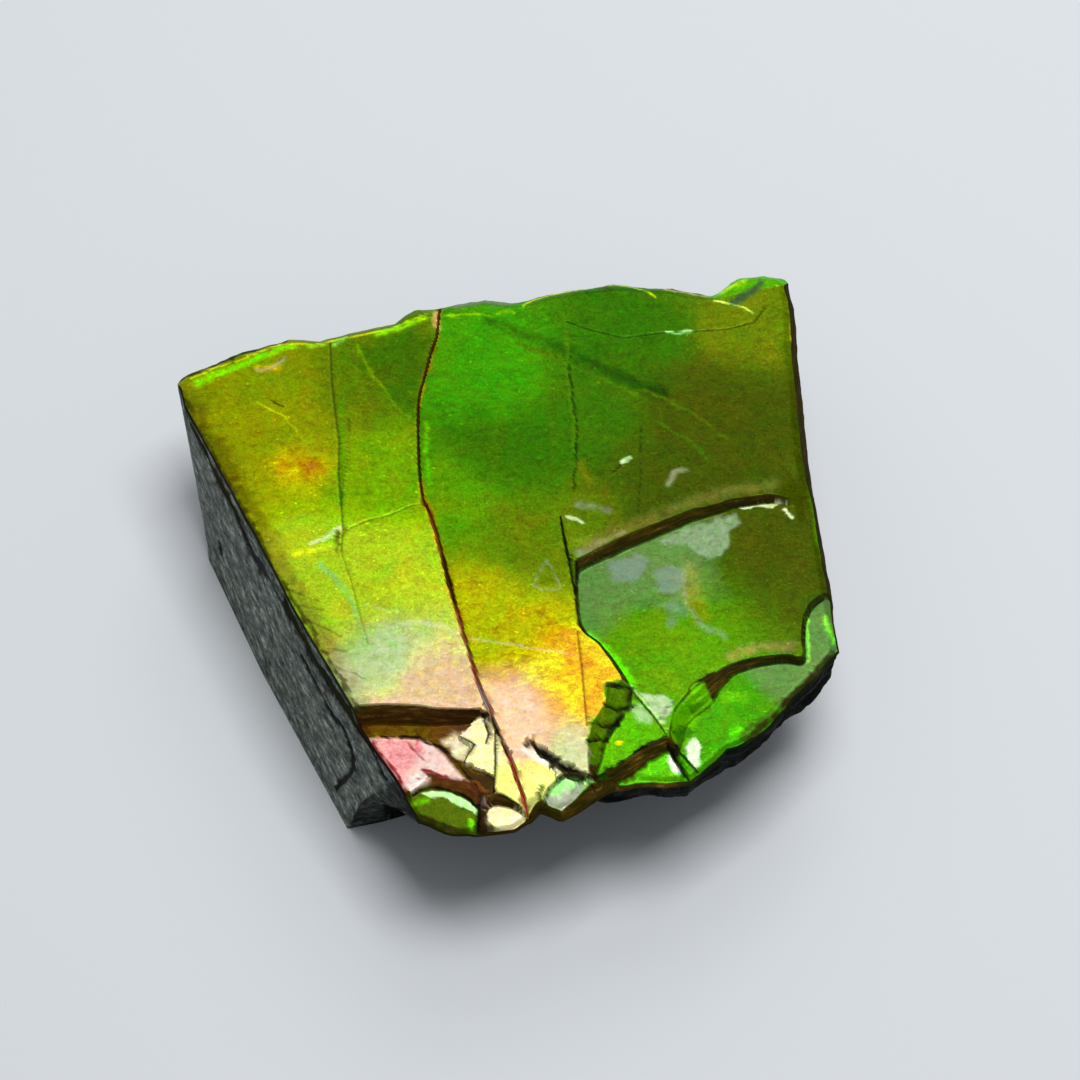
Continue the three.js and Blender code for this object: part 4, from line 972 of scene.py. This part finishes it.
grid = coons(side_of(brink_ring, "sawn"), side_of(brink_ring, "right")[::-1],
             side_of(brink_ring, "back")[::-1], side_of(brink_ring, "front"))
sides = {side: spread(side_of(brink_ring, side), 60) for side in ORDER}
ledges = [line for ledge in LEDGES.values() for line in ledge.values()]
crack_lines = [np.array(crack["line"]) for crack in CRACKS.values()]
crack_lines += [np.array(line) for width, changes, *lines in STROKES for line in lines
                if width < THIN_STROKE and changes.get("soil", 0) > DEEP_SOIL]
inner = grid[1:-1, 1:-1].reshape(-1, 2)
grid[1:-1, 1:-1] = gather(inner, [*ledges, *crack_lines, *sides.values()]).reshape(
    grid.shape[0] - 2, -1, 2)
print("grid of", grid.shape[:2], "points")

# %% [markdown]
# ## Making a piece
# A piece could be put together from vertices and faces one by one, but a grid is quicker: its quads
# follow from the counting of its points, also where the grid closes to a tube. Values that the
# materials need go into the mesh as attributes, one number for each point.

# %% Grid to mesh
SHARP_ANGLE = radians(42)   # edges that turn by more stay sharp


def grid_quads(rows, columns, wrap=False):
    """Corner numbers of the quads of a grid whose points are counted row by row."""
    row = np.arange(rows - 1)[:, None]
    column = np.arange(columns if wrap else columns - 1)[None, :]
    beside = (column + 1) % columns
    quads = np.stack([row * columns + column, (row + 1) * columns + column,
                      (row + 1) * columns + beside, row * columns + beside], axis=-1)
    return quads.reshape(-1, 4)


def make_piece(name, points, faces, values):
    """A mesh object from points in mm, with one float attribute for each named row of values."""
    mesh = bpy.data.meshes.new(name)
    mesh.from_pydata((points * MM).tolist(), [], faces)
    mesh.polygons.foreach_set("use_smooth", np.ones(len(mesh.polygons), bool))
    for attribute, numbers in values.items():
        layer = mesh.attributes.new(attribute, "FLOAT", "POINT")
        layer.data.foreach_set("value", np.asarray(numbers, np.float32))
    mesh.update()
    mesh.set_sharp_from_angle(angle=SHARP_ANGLE)
    piece = bpy.data.objects.new(name, mesh)
    bpy.context.scene.collection.objects.link(piece)
    triangles = sum(len(polygon.vertices) - 2 for polygon in mesh.polygons)
    print(name, len(points), "points", triangles, "triangles")
    return piece


print("quads of a grid of 2 by 3 points:", grid_quads(2, 3).tolist())

# %% [markdown]
# ## The shell
# The sheet gets its heights and colours, then the marks, and then the cracks, which cut into it and
# carry their stain.

# %% Heights, colours and marks of the sheet
THINNEST = 0.15   # mm of shell that is left under the deepest crack

top = grid.reshape(-1, 2)
height, sheet, torn, tone = shell_surface(top, sides)
lamella, glow, haze = nacre_colour(top, sheet)
values = dict(lamella=lamella, glow=glow, haze=haze, torn=torn, tone=tone,
              **{name: np.zeros(len(top)) for name in ("soil", "stain", "stone", "lift")})
bent = bent_by_noise(top)
for soft, changes, loop in PATCHES:
    lay(values, patch_cover(bent, np.array(loop), soft), changes)
for width, changes, *lines in STROKES:
    hard = "torn" in changes or "soil" in changes
    for line in lines:
        lay(values, stroke_cover(bent, np.array(line), width, hard), changes)
height = height + values.pop("lift")
for name, crack in CRACKS.items():
    cut = groove(top, name)
    height = height - crack["deep"] * cut
    colour = at_height(MAIN_STAIN, top[:, 1]) if name == "main" else crack["stain"]
    cover = ease(cut, 0.02, 0.5)
    lay(values, cover, dict(stain=colour))
    values["soil"] = np.maximum(values["soil"], cover * crack.get("soil", 0.95))

height = np.maximum(height, BED_Z + THINNEST)
print("heights of the shell in mm:", height.min().round(2), "to", height.max().round(2))

# %% [markdown]
# ### The sawn side
# On the sawn side the blade ran through shell and shale alike. Only a thin band of nacre shows there
# as a dark line under the brink; below it the wall has the colour of the stone. Cracks run along the
# beds from one solid into the other, so one list of them serves both.

# %% Cracks of the sawn side
# half width in mm, then y and z along each
SAWN_CRACKS = [
    (0.6, [[5.7, 10.1], [4.3, 10.1], [2.5, 9.8], [1.0, 9.2], [-0.7, 9.2], [-1.5, 9.7]]),
    (0.3, [[9.5, 10.5], [7.4, 10.5], [5.9, 10.2]]),
    (0.3, [[-1.5, 9.7], [-3.4, 9.8], [-5.0, 9.6]]),
    (0.7, [[-4.4, 10.3], [-6.9, 10.2], [-8.7, 9.8], [-9.8, 10.0], [-12.2, 10.5]]),
    (0.3, [[-7.2, 8.2], [-9.2, 7.8], [-11.2, 7.5]]),
    (0.4, [[-11.2, 7.5], [-12.1, 8.0], [-13.4, 7.5], [-14.2, 6.2]]),
    (0.28, [[-14.2, 6.2], [-14.2, 4.8], [-13.6, 1.5]]),
    (0.35, [[-12.4, 10.1], [-13.6, 10.2], [-15.0, 10.1], [-16.4, 9.1], [-17.6, 9.0]]),
    (0.25, [[-16.0, 2.8], [-16.7, 4.3], [-17.7, 6.2]]),
    (0.3, [[3.9, 4.0], [3.6, 3.4]]),
]
SPLIT_REACH = 1.2   # mm, more than the widest half width


def sawn_crack(points):
    """Share of a crack's depth from y and z: 1 on its line, 0 one half width away, on ragged sides."""
    share = np.zeros(len(points))
    for half, line in SAWN_CRACKS:
        here = around(points, line, SPLIT_REACH)
        away, _ = nearest_on(points[here], line)
        wide = half * np.maximum(1 + 0.7 * noise(points[here], 0.5, 95), 0.5)
        share[here] = np.maximum(share[here], 1 - ease(away, 0.65 * wide, wide))
    return share


print(len(SAWN_CRACKS), "cracks of the sawn side")

# %% [markdown]
# ### Walls and underside
# A wall runs down from the sheet's border to the shale, with a bulge where the break is round, and
# thin layers that stand in and out. A flat underside closes the solid.

# %% The shell as one closed mesh
WALL_ROWS = 12
# for each side, and for places along the front: how far its wall bulges in mm, and how brown it is;
# the near black of the front right stands for painted shade under the overhang
BULGE = {"sawn": 0.0, "front": [0.05, 0.05, 0.26, 0.22, 0.04, 0.04], "right": 0.05, "back": 0.03}
WALL_TONE = {"sawn": 0.06, "front": [0.2, 0.3, 0.8, 0.8, 0.05, 0.1], "right": 0.4, "back": 0.55}
LAYER_RELIEF = 0.05      # mm that the layers of the wall stand in and out
NACRE_BAND = 0.45, 0.6   # mm below the brink where nacre gives way to stone on the sawn side

rows, columns = grid.shape[:2]
number = np.arange(rows * columns).reshape(rows, columns)
border = np.concatenate([number[:-1, 0], number[-1, :-1], number[:0:-1, -1], number[0, :0:-1]])
brink = np.column_stack([top[border], height[border]])
foot = np.column_stack([rim_ring, np.full(len(rim_ring), BED_Z)])
share = np.linspace(0, 1, WALL_ROWS + 1)[1:, None, None]
wall = brink * (1 - share) + foot * share
layered = noise((wall * [0.5, 0.5, 7.0]).reshape(-1, 3), 1.0, 9).reshape(wall.shape[:2])
pushed = side_values(BULGE)[None] * np.sin(np.pi * share[..., 0]) - LAYER_RELIEF * layered
pushed[-1] = 0
wall[..., :2] -= ring_inward * pushed[..., None]
wall[..., 2] += 0.5 * np.maximum(pushed, 0) * (1 - share[..., 0])

points = np.vstack([np.column_stack([top, height]), wall.reshape(-1, 3)])
ring_numbers = np.vstack([border, len(top) + np.arange(wall.size // 3).reshape(WALL_ROWS, -1)])
wall_quads = ring_numbers.reshape(-1)[grid_quads(WALL_ROWS + 1, len(border), wrap=True)]
underside = ring_numbers[-1][::-1].tolist()
faces = [*grid_quads(rows, columns).tolist(), *wall_quads.tolist(), underside]

on_wall = {name: np.tile(rows_of[border], WALL_ROWS) for name, rows_of in values.items()}
on_wall.update(torn=np.ones(wall.shape[:2]).ravel(), haze=np.zeros(wall.shape[:2]).ravel(),
               tone=np.tile(side_values(WALL_TONE), WALL_ROWS))
on_sawn_side = side_values({"sawn": 1.0, "front": [0.0] * 6, "right": 0.0, "back": 0.0})
below_brink = brink[None, :, 2] - wall[..., 2]
split = sawn_crack(wall[..., 1:].reshape(-1, 2)).reshape(below_brink.shape)
on_wall["stone"] = (on_sawn_side * ease(below_brink, *NACRE_BAND) * (1 - split)).ravel()
on_wall["soil"] = np.zeros(wall.shape[:2]).ravel()
shell = make_piece("ammolite_shell", points, faces, {
    name: np.append(values[name], on_wall[name]) for name in values})
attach(shell, "root")
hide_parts("ammolite_layer")

# %% [markdown]
# ## The shale under it
# The shale is one closed tube of rings from the shell's underside down to the base. On the left it is
# sawn: every ring slides straight from the upper outline to the lower one, so the side is a plane.
# Elsewhere it broke: a lip as high as a fingernail is thick stands under the shell, and below it the
# stone falls back, faster at the front. Noise in all three directions gives the broken faces, and
# noise that is stretched sideways gives the thin beds of the shale.

# %% Outline and stretches of the shale
# each stretch: how much of it is undercut, height of the lip, where it starts, outline of the base
STRETCHES = [
    (0.0, 0.0, [-22.25, 12.6], [[-20.5, 5.0], [-16.5, -4.0], [-10.5, -15.8]]),
    (0.6, 0.25, [-7.2, -17.1], [[-10.5, -15.8], [-8.2, -15.3]]),
    (1.0, 0.0, [-5.4, -20.4], [[-8.2, -15.3], [-5.4, -14.4], [-1.5, -13.7]]),
    (1.0, 0.0, [2.5, -19.8], [[-1.5, -13.7], [2.0, -13.5], [5.0, -13.1]]),
    (1.0, 1.9, [6.6, -18.6], [[5.0, -13.1], [9.5, -11.8]]),
    (1.0, 2.5, [12.3, -17.6], [[9.5, -11.8], [14.4, -9.2], [18.3, -4.6]]),
    (0.6, 1.6, [22.25, -7.8], [[18.3, -4.6], [19.9, 1.0], [19.7, 10.0], [18.9, 17.6]]),
    (0.5, 1.4, [19.6, 21.1],
     [[18.9, 17.6], [10.0, 17.6], [0.0, 15.6], [-10.0, 11.4], [-17.0, 8.4], [-20.5, 5.0]]),
]
SHALE_ROWS = 70
UNDERCUT_DEPTH = 6.2     # mm below the shell where the undercut reaches the outline of the base
SAWN_SHARE = [1.0, 0.22, 0.05, 0, 0, 0, 0, 0]
# relief in mm: how far the broken stone is set back, its lumps, its beds, saw marks and cracks
SET_BACK, LUMP, BED, SAW_MARK, SPLIT_DEPTH = 0.3, 0.34, 0.22, 0.012, 0.15

starts = [int(np.hypot(*(rim_ring - corner).T).argmin()) for _, _, corner, _ in STRETCHES]
counts = np.diff([*starts, len(rim_ring)])
base_ring = np.vstack([spread(line, count + 1)[:-1]
                       for (_, _, _, line), count in zip(STRETCHES, counts)])
undercut = smooth_ring(np.repeat([stretch[0] for stretch in STRETCHES], counts), 12)
lip = smooth_ring(np.repeat([stretch[1] for stretch in STRETCHES], counts), 40)
sawn = smooth_ring(np.repeat(SAWN_SHARE, counts), 2)
print("points of each stretch:", counts.tolist())

# %% The shale as one closed mesh
drop = np.linspace(0, BED_Z, SHALE_ROWS + 1)[:, None]
fallen = undercut * ease(drop, lip, UNDERCUT_DEPTH) + (1 - undercut) * drop / BED_Z
ring_xy = rim_ring * (1 - fallen[..., None]) + base_ring * fallen[..., None]
stone = np.dstack([ring_xy, np.broadcast_to(BED_Z - drop, fallen.shape)])
flat = stone.reshape(-1, 3)
lumps = rough(flat, 3.4, 6, 60).reshape(fallen.shape)
beds = rough(flat * [0.3, 0.3, 2.0], 1.0, 3, 70).reshape(fallen.shape)
saw_marks = noise(flat * [0.12, 0.12, 5.0], 1.0, 90).reshape(fallen.shape)
free = ease(drop, 0, 0.25) * ease(BED_Z - drop, 0, 0.1)
split = sawn_crack(flat[:, 1:]).reshape(fallen.shape) * (sawn > 0.9)
relief = undercut * (SET_BACK + LUMP * lumps + BED * beds) * free
relief += sawn * SAW_MARK * saw_marks + SPLIT_DEPTH * split
stone[..., :2] += ring_inward * relief[..., None]

count = len(rim_ring)
shale_faces = [*grid_quads(SHALE_ROWS + 1, count, wrap=True).tolist(), list(range(count)),
               list(range(SHALE_ROWS * count, (SHALE_ROWS + 1) * count))[::-1]]
shale = make_piece("shale_bed", stone.reshape(-1, 3), shale_faces, {
    "sawn": np.tile(sawn, SHALE_ROWS + 1),
    "split": split.ravel(),
})
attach(shale, "root")
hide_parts("shale_matrix")

# %% [markdown]
# ## Finishes
# One function turns a hex colour as seen on a screen into the linear numbers that the shader wants,
# and one adds a node with its settings and links. Patterns read Object coordinates, in metres, so a
# pattern of a size in millimetres has a scale of one over that size.

# %% Node helpers
def linear(hex_colour):
    """sRGB hex to linear RGBA: c / 12.92 below 0.04045, else ((c + 0.055) / 1.055)^2.4."""
    c = np.array([int(hex_colour[k:k + 2], 16) for k in (1, 3, 5)]) / 255
    c = np.where(c <= 0.04045, c / 12.92, ((c + 0.055) / 1.055) ** 2.4)
    return (*c.tolist(), 1.0)


def add(tree, kind, inputs=(), out=None, stops=(), **settings):
    """Adds a node and gives its output `out`, or its first. Each setting is a property of the node.
    Inputs come in their order, or by identifier, and each is a value or a socket to link. Stops are
    the (position, hex colour) pairs of a colour ramp."""
    node = tree.nodes.new("ShaderNode" + kind)
    for name, value in settings.items():
        setattr(node, name, value)
    if stops:
        elements = node.color_ramp.elements
        while len(elements) < len(stops):
            elements.new(0.5)
        for element, (position, hex_colour) in zip(elements, stops):
            element.position = position
            element.color = linear(hex_colour)
    sockets = {socket.identifier: socket for socket in node.inputs}
    pairs = inputs.items() if isinstance(inputs, dict) else zip(sockets, inputs)
    for name, value in pairs:
        if isinstance(value, bpy.types.NodeSocket):
            tree.links.new(value, sockets[name])
        else:
            sockets[name].default_value = value
    given = {socket.identifier: socket for socket in node.outputs}
    return given[out] if out else node.outputs[0]


def new_material(name):
    """An empty node material with a Principled shader wired to its output."""
    material = bpy.data.materials.new(name)
    material.use_nodes = True
    tree = material.node_tree
    return material, tree, tree.nodes["Principled BSDF"]


def grains(tree, place, table):
    """A noise for each row of a table: cells of a size in mm, stretched to size / stretch along x, y
    and z, with some octaves of detail, their roughness and a distortion."""
    found = {}
    for name, (size, stretch, detail, roughness, distortion) in table.items():
        at = add(tree, "Mapping", {"Vector": place, "Scale": stretch})
        found[name] = add(tree, "TexNoise", {
            "Vector": at, "Scale": 1 / (size * MM), "Detail": detail, "Roughness": roughness,
            "Distortion": distortion}, "Fac")
    return found


def layered_over(tree, colour, *layers):
    """The colour with each layer mixed over it in turn: colour (1 - share) + layer share."""
    for share, layer in layers:
        colour = add(tree, "Mix", {"Factor_Float": share, "A_Color": colour, "B_Color": layer},
                     "Result_Color", data_type="RGBA")
    return colour


print("mid grey in linear:", linear("#808080"))

# %% [markdown]
# ### Sawn stone
# The saw ran through both pieces, so both finishes need its look: streaks of half a millimetre by one,
# from near black to the pale grey of scratched mud.

# %% Look of the sawn stone
STONE_GRAIN = (0.65, (0.9, 0.55, 1.2), 9.0, 0.78, 0.3)
STONE_STOPS = [(0.36, "#191C17"), (0.45, "#4E564E"), (0.55, "#7E887E"), (0.66, "#D0DAD0")]
print("stone grain in mm:", [round(STONE_GRAIN[0] / k, 2) for k in STONE_GRAIN[1]])

# %% [markdown]
# ### Nacre
# Polished aragonite has an index near 1.6 and a hard, glassy gloss. The colour comes from inside it,
# from light that the stacked layers throw back like foil, so the shader is part metallic. Its outer
# skin is worn to a satin, so the white reflection on top is kept weak; glare, highlights and glints
# are painted into the base colour instead. Torn edges show the layers end on and look dark brown,
# with fine streaks, and black where painted shade lies at their brink and foot. The foil has a leafy
# grain of half a millimetre and a finer one in it, which show most where the sheet is painted
# brightest.

# %% Grains and colours of nacre
# white of the milky bloom and of the painted glare
WHITE_BLOOM_AND_GLARE = "#E2DED0"
PLAIN = (1.0, 1.0, 1.0)
# size in mm, stretch, detail, roughness, distortion
NACRE_GRAINS = {
    "leaf": (0.55, (0.75, 1.2, 1.0), 5.0, 0.65, 0.8),      # the foil's leafy grain
    "fine": (0.16, PLAIN, 3.0, 0.65, 0.0),                 # the finer one in it
    "swirl": (2.6, PLAIN, 6.0, 0.65, 0.6),                 # slow drift of the hue
    # the fold's middle lines are bright with painted highlights, as if crinkles caught the lamp
    "fold": (1.3, (1.0, 1.5, 1.0), 4.0, 0.65, 1.2),        # its middle lines are bright crinkles
    "bright_dots": (0.30, PLAIN, 1.0, 0.65, 0.0),                 # rare bright dots
    # the speckle breaks up the bloom and the painted glare alike
    "speckle": (0.40, PLAIN, 5.0, 0.65, 0.0),              # breaks up the bloom
    "streak": (1.0, (0.6, 0.6, 8.0), 6.0, 0.65, 0.0),      # layers of a torn edge
    "wear": (0.8, PLAIN, 4.0, 0.65, 0.0),                  # patches of duller polish
    "stone": STONE_GRAIN,
}
NACRE_STOPS = [
    (0.00, "#D83A5A"), (0.08, "#FA8C8C"), (0.18, "#FFA860"), (0.28, "#FFAA08"), (0.36, "#FFD400"),
    (0.44, "#FFFF00"), (0.52, "#E0FF00"), (0.60, "#C2FF00"), (0.68, "#A6FF00"), (0.76, "#8CFF00"),
    (0.88, "#68FF00"), (1.00, "#3CFF08")]
BROWN_EDGE = [(0.34, "#120703"), (0.48, "#3A1C08"), (0.60, "#603C14"), (0.72, "#94743A")]
# black of torn edges, also used where painted shade lies at a break's brink and foot
BLACK_EDGE = [(0.38, "#030302"), (0.58, "#0A0907"), (0.74, "#33332E")]
# black, brown, rust, rose, crimson and lilac grey, in the order of the stain numbers
STAIN_STOPS = [(0.00, "#0C0904"), (0.20, "#33220E"), (0.40, "#8A4A1C"), (0.60, "#B46A56"),
               (0.80, "#A01828"), (1.00, "#8E98A2")]
print(len(NACRE_GRAINS), "grains, hues from", NACRE_STOPS[0][1], "to", NACRE_STOPS[-1][1])


# %% Painted sparkle of the foil
# the sparkle is painted light: glints of the foil and highlights on fold crinkles, in the brightness
def painted_foil_sparkle(tree, grain):
    """(1 + 1.5 (fine - 0.5)) (0.95 + 1.4 (leaf - 0.5)), plus 2.2 (0.1 - |fold - 0.5|) near the middle
    line of a fold and 8 (dust - 0.68) on a dot."""
    fine = add(tree, "Math", (grain["fine"], 1.5, 0.25), operation="MULTIPLY_ADD")
    leafy = add(tree, "Math", (grain["leaf"], 1.4, 0.25), operation="MULTIPLY_ADD")
    sparkle = add(tree, "Math", (fine, leafy), operation="MULTIPLY")
    fold = add(tree, "Math", (grain["fold"], 0.5), operation="SUBTRACT")
    fold = add(tree, "Math", (fold,), operation="ABSOLUTE")
    fold = add(tree, "Math", (0.1, fold), operation="SUBTRACT", use_clamp=True)
    sparkle = add(tree, "Math", (fold, 2.2, sparkle), operation="MULTIPLY_ADD")
    bright_dots = add(tree, "Math", (grain["bright_dots"], 0.68), operation="SUBTRACT", use_clamp=True)
    return add(tree, "Math", (bright_dots, 8.0, sparkle), operation="MULTIPLY_ADD")


# %% Nacre finish
def nacre_material():
    """Hue is the lamella value, stirred by swirl and leaf, through the nacre ramp. Brightness is the
    brightness value^2.2, because that value says how bright it looks on a screen, painted flash
    included, times the painted sparkle. Bloom and painted glare, torn edge, stain and stone are mixed
    over it by their own values."""
    material, tree, shader = new_material("polished_nacre")
    place = add(tree, "TexCoord", out="Object")
    grain = grains(tree, place, NACRE_GRAINS)
    value = {name: add(tree, "Attribute", out="Fac", attribute_name=name)
             for name in ("lamella", "glow", "haze", "torn", "tone", "soil", "stain", "stone")}

    # lamella + 0.42 (swirl - 0.5) + 0.24 (leaf - 0.5)
    phase = add(tree, "Math", (grain["swirl"], 0.42, value["lamella"]), operation="MULTIPLY_ADD")
    phase = add(tree, "Math", (grain["leaf"], 0.24, phase), operation="MULTIPLY_ADD")
    phase = add(tree, "Math", (phase, 0.33), operation="SUBTRACT")
    hue = add(tree, "ValToRGB", [phase], stops=NACRE_STOPS)

    shown = add(tree, "Math", (value["glow"], 2.2), operation="POWER")
    bright = add(tree, "Math", (shown, painted_foil_sparkle(tree, grain)), operation="MULTIPLY")
    lit = add(tree, "VectorMath", {"Vector": hue, "Scale": bright}, operation="SCALE")

    # haze (1 + 2.2 (speckle - 0.5)): milky bloom and painted glare
    speckle = add(tree, "Math", (grain["speckle"], 2.2, -0.1), operation="MULTIPLY_ADD")
    speckle = add(tree, "Math", (speckle, 0.0), operation="MAXIMUM")
    bloom_and_glare = add(tree, "Math", (value["haze"], speckle), operation="MULTIPLY")

    black = add(tree, "ValToRGB", [grain["streak"]], stops=BLACK_EDGE)
    brown = add(tree, "ValToRGB", [grain["streak"]], stops=BROWN_EDGE)
    faint = add(tree, "VectorMath", {"Vector": hue, "Scale": 0.06}, operation="SCALE")
    edge = layered_over(tree, black, (value["tone"], brown), (0.25, faint))
    stain = add(tree, "ValToRGB", [value["stain"]], stops=STAIN_STOPS)
    stone = add(tree, "ValToRGB", [grain["stone"]], stops=STONE_STOPS)
    coloured = layered_over(tree, lit, (bloom_and_glare, linear(WHITE_BLOOM_AND_GLARE)), (value["torn"], edge),
                            (value["soil"], stain), (value["stone"], stone))

    # roughness 0.3 + 0.4 torn + 0.3 (wear - 0.5), metallic 0.18 (1 - torn)
    matt = add(tree, "Math", (value["torn"], 0.4, 0.15), operation="MULTIPLY_ADD")
    matt = add(tree, "Math", (grain["wear"], 0.3, matt), operation="MULTIPLY_ADD")
    foil = add(tree, "Math", (value["torn"], -0.18, 0.18), operation="MULTIPLY_ADD")
    relief = add(tree, "Bump", {"Height": grain["leaf"], "Strength": 0.5, "Distance": 0.03 * MM})
    for name, socket in (("Base Color", coloured), ("Roughness", matt), ("Metallic", foil),
                         ("Normal", relief)):
        tree.links.new(socket, shader.inputs[name])
    shader.inputs["IOR"].default_value = 1.60
    shader.inputs["Specular IOR Level"].default_value = 0.015
    return material


shell.data.materials.append(nacre_material())
print("nacre:", len(shell.data.materials[0].node_tree.nodes), "nodes")

# %% [markdown]
# ### Shale
# Shale is mud turned to stone: dark grey, matt where it broke and slightly shiny where the saw ran.
# The sawn side is mottled, with dark cracks along its beds. The broken sides are painted nearly
# black, partly as painted shade where they lie under the overhang, with pale streaks that are
# painted glints. The seam right under the shell is painted blackest, as painted shade.

# %% Shale finish
# broken stone: near black, partly painted shade of the undercut, up to pale painted glints
BROKEN_SHADE_AND_GLINT_STOPS = [(0.34, "#040504"), (0.50, "#0D100D"), (0.62, "#2A2E29"), (0.74, "#8A908A")]
# the seam's black, where it starts and how fast it darkens: painted shade under the shell
SEAM_SHADE_BLACK = "#080908"
SEAM_SHADE_START = 9.9   # mm above the base
SEAM_SHADE_GAIN = 8.0    # share of black gained per mm above that


def shale_material():
    """The mottle through the sawn ramp or the broken one, by how sawn the side is, and black over it
    in the cracks, and as painted shade in the seam: 8 (height - 9.9 mm) (1 - sawn), at most 1."""
    material, tree, shader = new_material("dark_shale")
    place = add(tree, "TexCoord", out="Object")
    mottle = grains(tree, place, {"stone": STONE_GRAIN})["stone"]
    sawn_share, crack_share = (add(tree, "Attribute", out="Fac", attribute_name=name)
                               for name in ("sawn", "split"))
    broken_shade_look = add(tree, "ValToRGB", [mottle], stops=BROKEN_SHADE_AND_GLINT_STOPS)
    sawn_look = add(tree, "ValToRGB", [mottle], stops=STONE_STOPS)

    height_m = add(tree, "SeparateXYZ", [place], "Z")
    seam_shade = add(tree, "Math", (height_m, SEAM_SHADE_GAIN / MM, -SEAM_SHADE_GAIN * SEAM_SHADE_START),
               operation="MULTIPLY_ADD")
    unsawn = add(tree, "Math", (1.0, sawn_share), operation="SUBTRACT")
    seam_shade = add(tree, "Math", (seam_shade, unsawn), operation="MULTIPLY")
    dark = add(tree, "Math", (crack_share, seam_shade), operation="MAXIMUM", use_clamp=True)
    coloured = layered_over(tree, broken_shade_look, (sawn_share, sawn_look), (dark, linear(SEAM_SHADE_BLACK)))

    # roughness 0.72 where broken, 0.52 where sawn
    matt = add(tree, "Math", (sawn_share, -0.2, 0.72), operation="MULTIPLY_ADD")
    relief = add(tree, "Bump", {"Height": mottle, "Strength": 0.7, "Distance": 0.25 * MM})
    for name, socket in (("Base Color", coloured), ("Roughness", matt), ("Normal", relief)):
        tree.links.new(socket, shader.inputs[name])
    shader.inputs["IOR"].default_value = 1.55
    shader.inputs["Specular IOR Level"].default_value = 0.08
    return material


shale.data.materials.append(shale_material())
print("shale:", len(shale.data.materials[0].node_tree.nodes), "nodes")

# %% [markdown]
# ## Floor, light and camera
# The specimen lies on a pale board under a large soft lamp, high up, and a weaker one behind it, so
# the undercut front stands in its own soft shadow. The camera looks down at sixty degrees.

# %% Floor
FLOOR_HALF = 0.6   # metres
corners = [(x * FLOOR_HALF, y * FLOOR_HALF, 0) for x, y in ((-1, -1), (1, -1), (1, 1), (-1, 1))]
floor_mesh = bpy.data.meshes.new("floor")
floor_mesh.from_pydata(corners, [], [(0, 1, 2, 3)])
floor = bpy.data.objects.new("floor", floor_mesh)
bpy.context.scene.collection.objects.link(floor)
# painted board is matt, so it takes soft shadows and mirrors nothing
floor_material, _, floor_shader = new_material("pale_board")
floor_shader.inputs["Base Color"].default_value = linear("#D4D8DC")
floor_shader.inputs["Roughness"].default_value = 0.7
floor_mesh.materials.append(floor_material)
print("floor of", 2 * FLOOR_HALF, "m")

# %% Light
def soft_light(name, place, aim, size, power):
    """A square lamp of `size` metres at `place`, facing the point `aim`."""
    data = bpy.data.lights.new(name, "AREA")
    data.size = size
    data.energy = power
    lamp = bpy.data.objects.new(name, data)
    lamp.location = place
    lamp.rotation_euler = (Vector(aim) - Vector(place)).to_track_quat("-Z", "Y").to_euler()
    bpy.context.scene.collection.objects.link(lamp)


soft_light("overhead", (0.07, 0.05, 0.44), (0, 0, 0), size=0.22, power=1.47)
soft_light("behind", (0.06, 0.34, 0.32), (0, 0, 0), size=0.24, power=0.42)
world = bpy.data.worlds.new("soft_room")
world.use_nodes = True
background = world.node_tree.nodes["Background"]
background.inputs["Color"].default_value = linear("#E8ECF0")
background.inputs["Strength"].default_value = 0.29
bpy.context.scene.world = world
bpy.context.scene.view_settings.view_transform = "Standard"

# %% Camera
CAMERA_TARGET = (2.44, -0.34, 12.0)      # mm
CAMERA_DISTANCE = 320.0
CAMERA_ELEVATION = radians(60)
SENSOR = 36.0
VIEW_WIDTH = 71.904                      # mm of the object across the picture

camera_data = bpy.data.cameras.new("camera")
camera_data.sensor_width = SENSOR
camera_data.lens = SENSOR * CAMERA_DISTANCE / VIEW_WIDTH
camera_data.clip_start = 0.01
camera = bpy.data.objects.new("camera", camera_data)
away = Vector((0, -np.cos(CAMERA_ELEVATION), np.sin(CAMERA_ELEVATION))) * CAMERA_DISTANCE
camera.location = (Vector(CAMERA_TARGET) + away) * MM
camera.rotation_euler = (radians(90) - CAMERA_ELEVATION, 0, 0)
bpy.context.scene.collection.objects.link(camera)
bpy.context.scene.camera = camera
print("camera at", [round(v, 3) for v in camera.location], "lens", round(camera_data.lens))
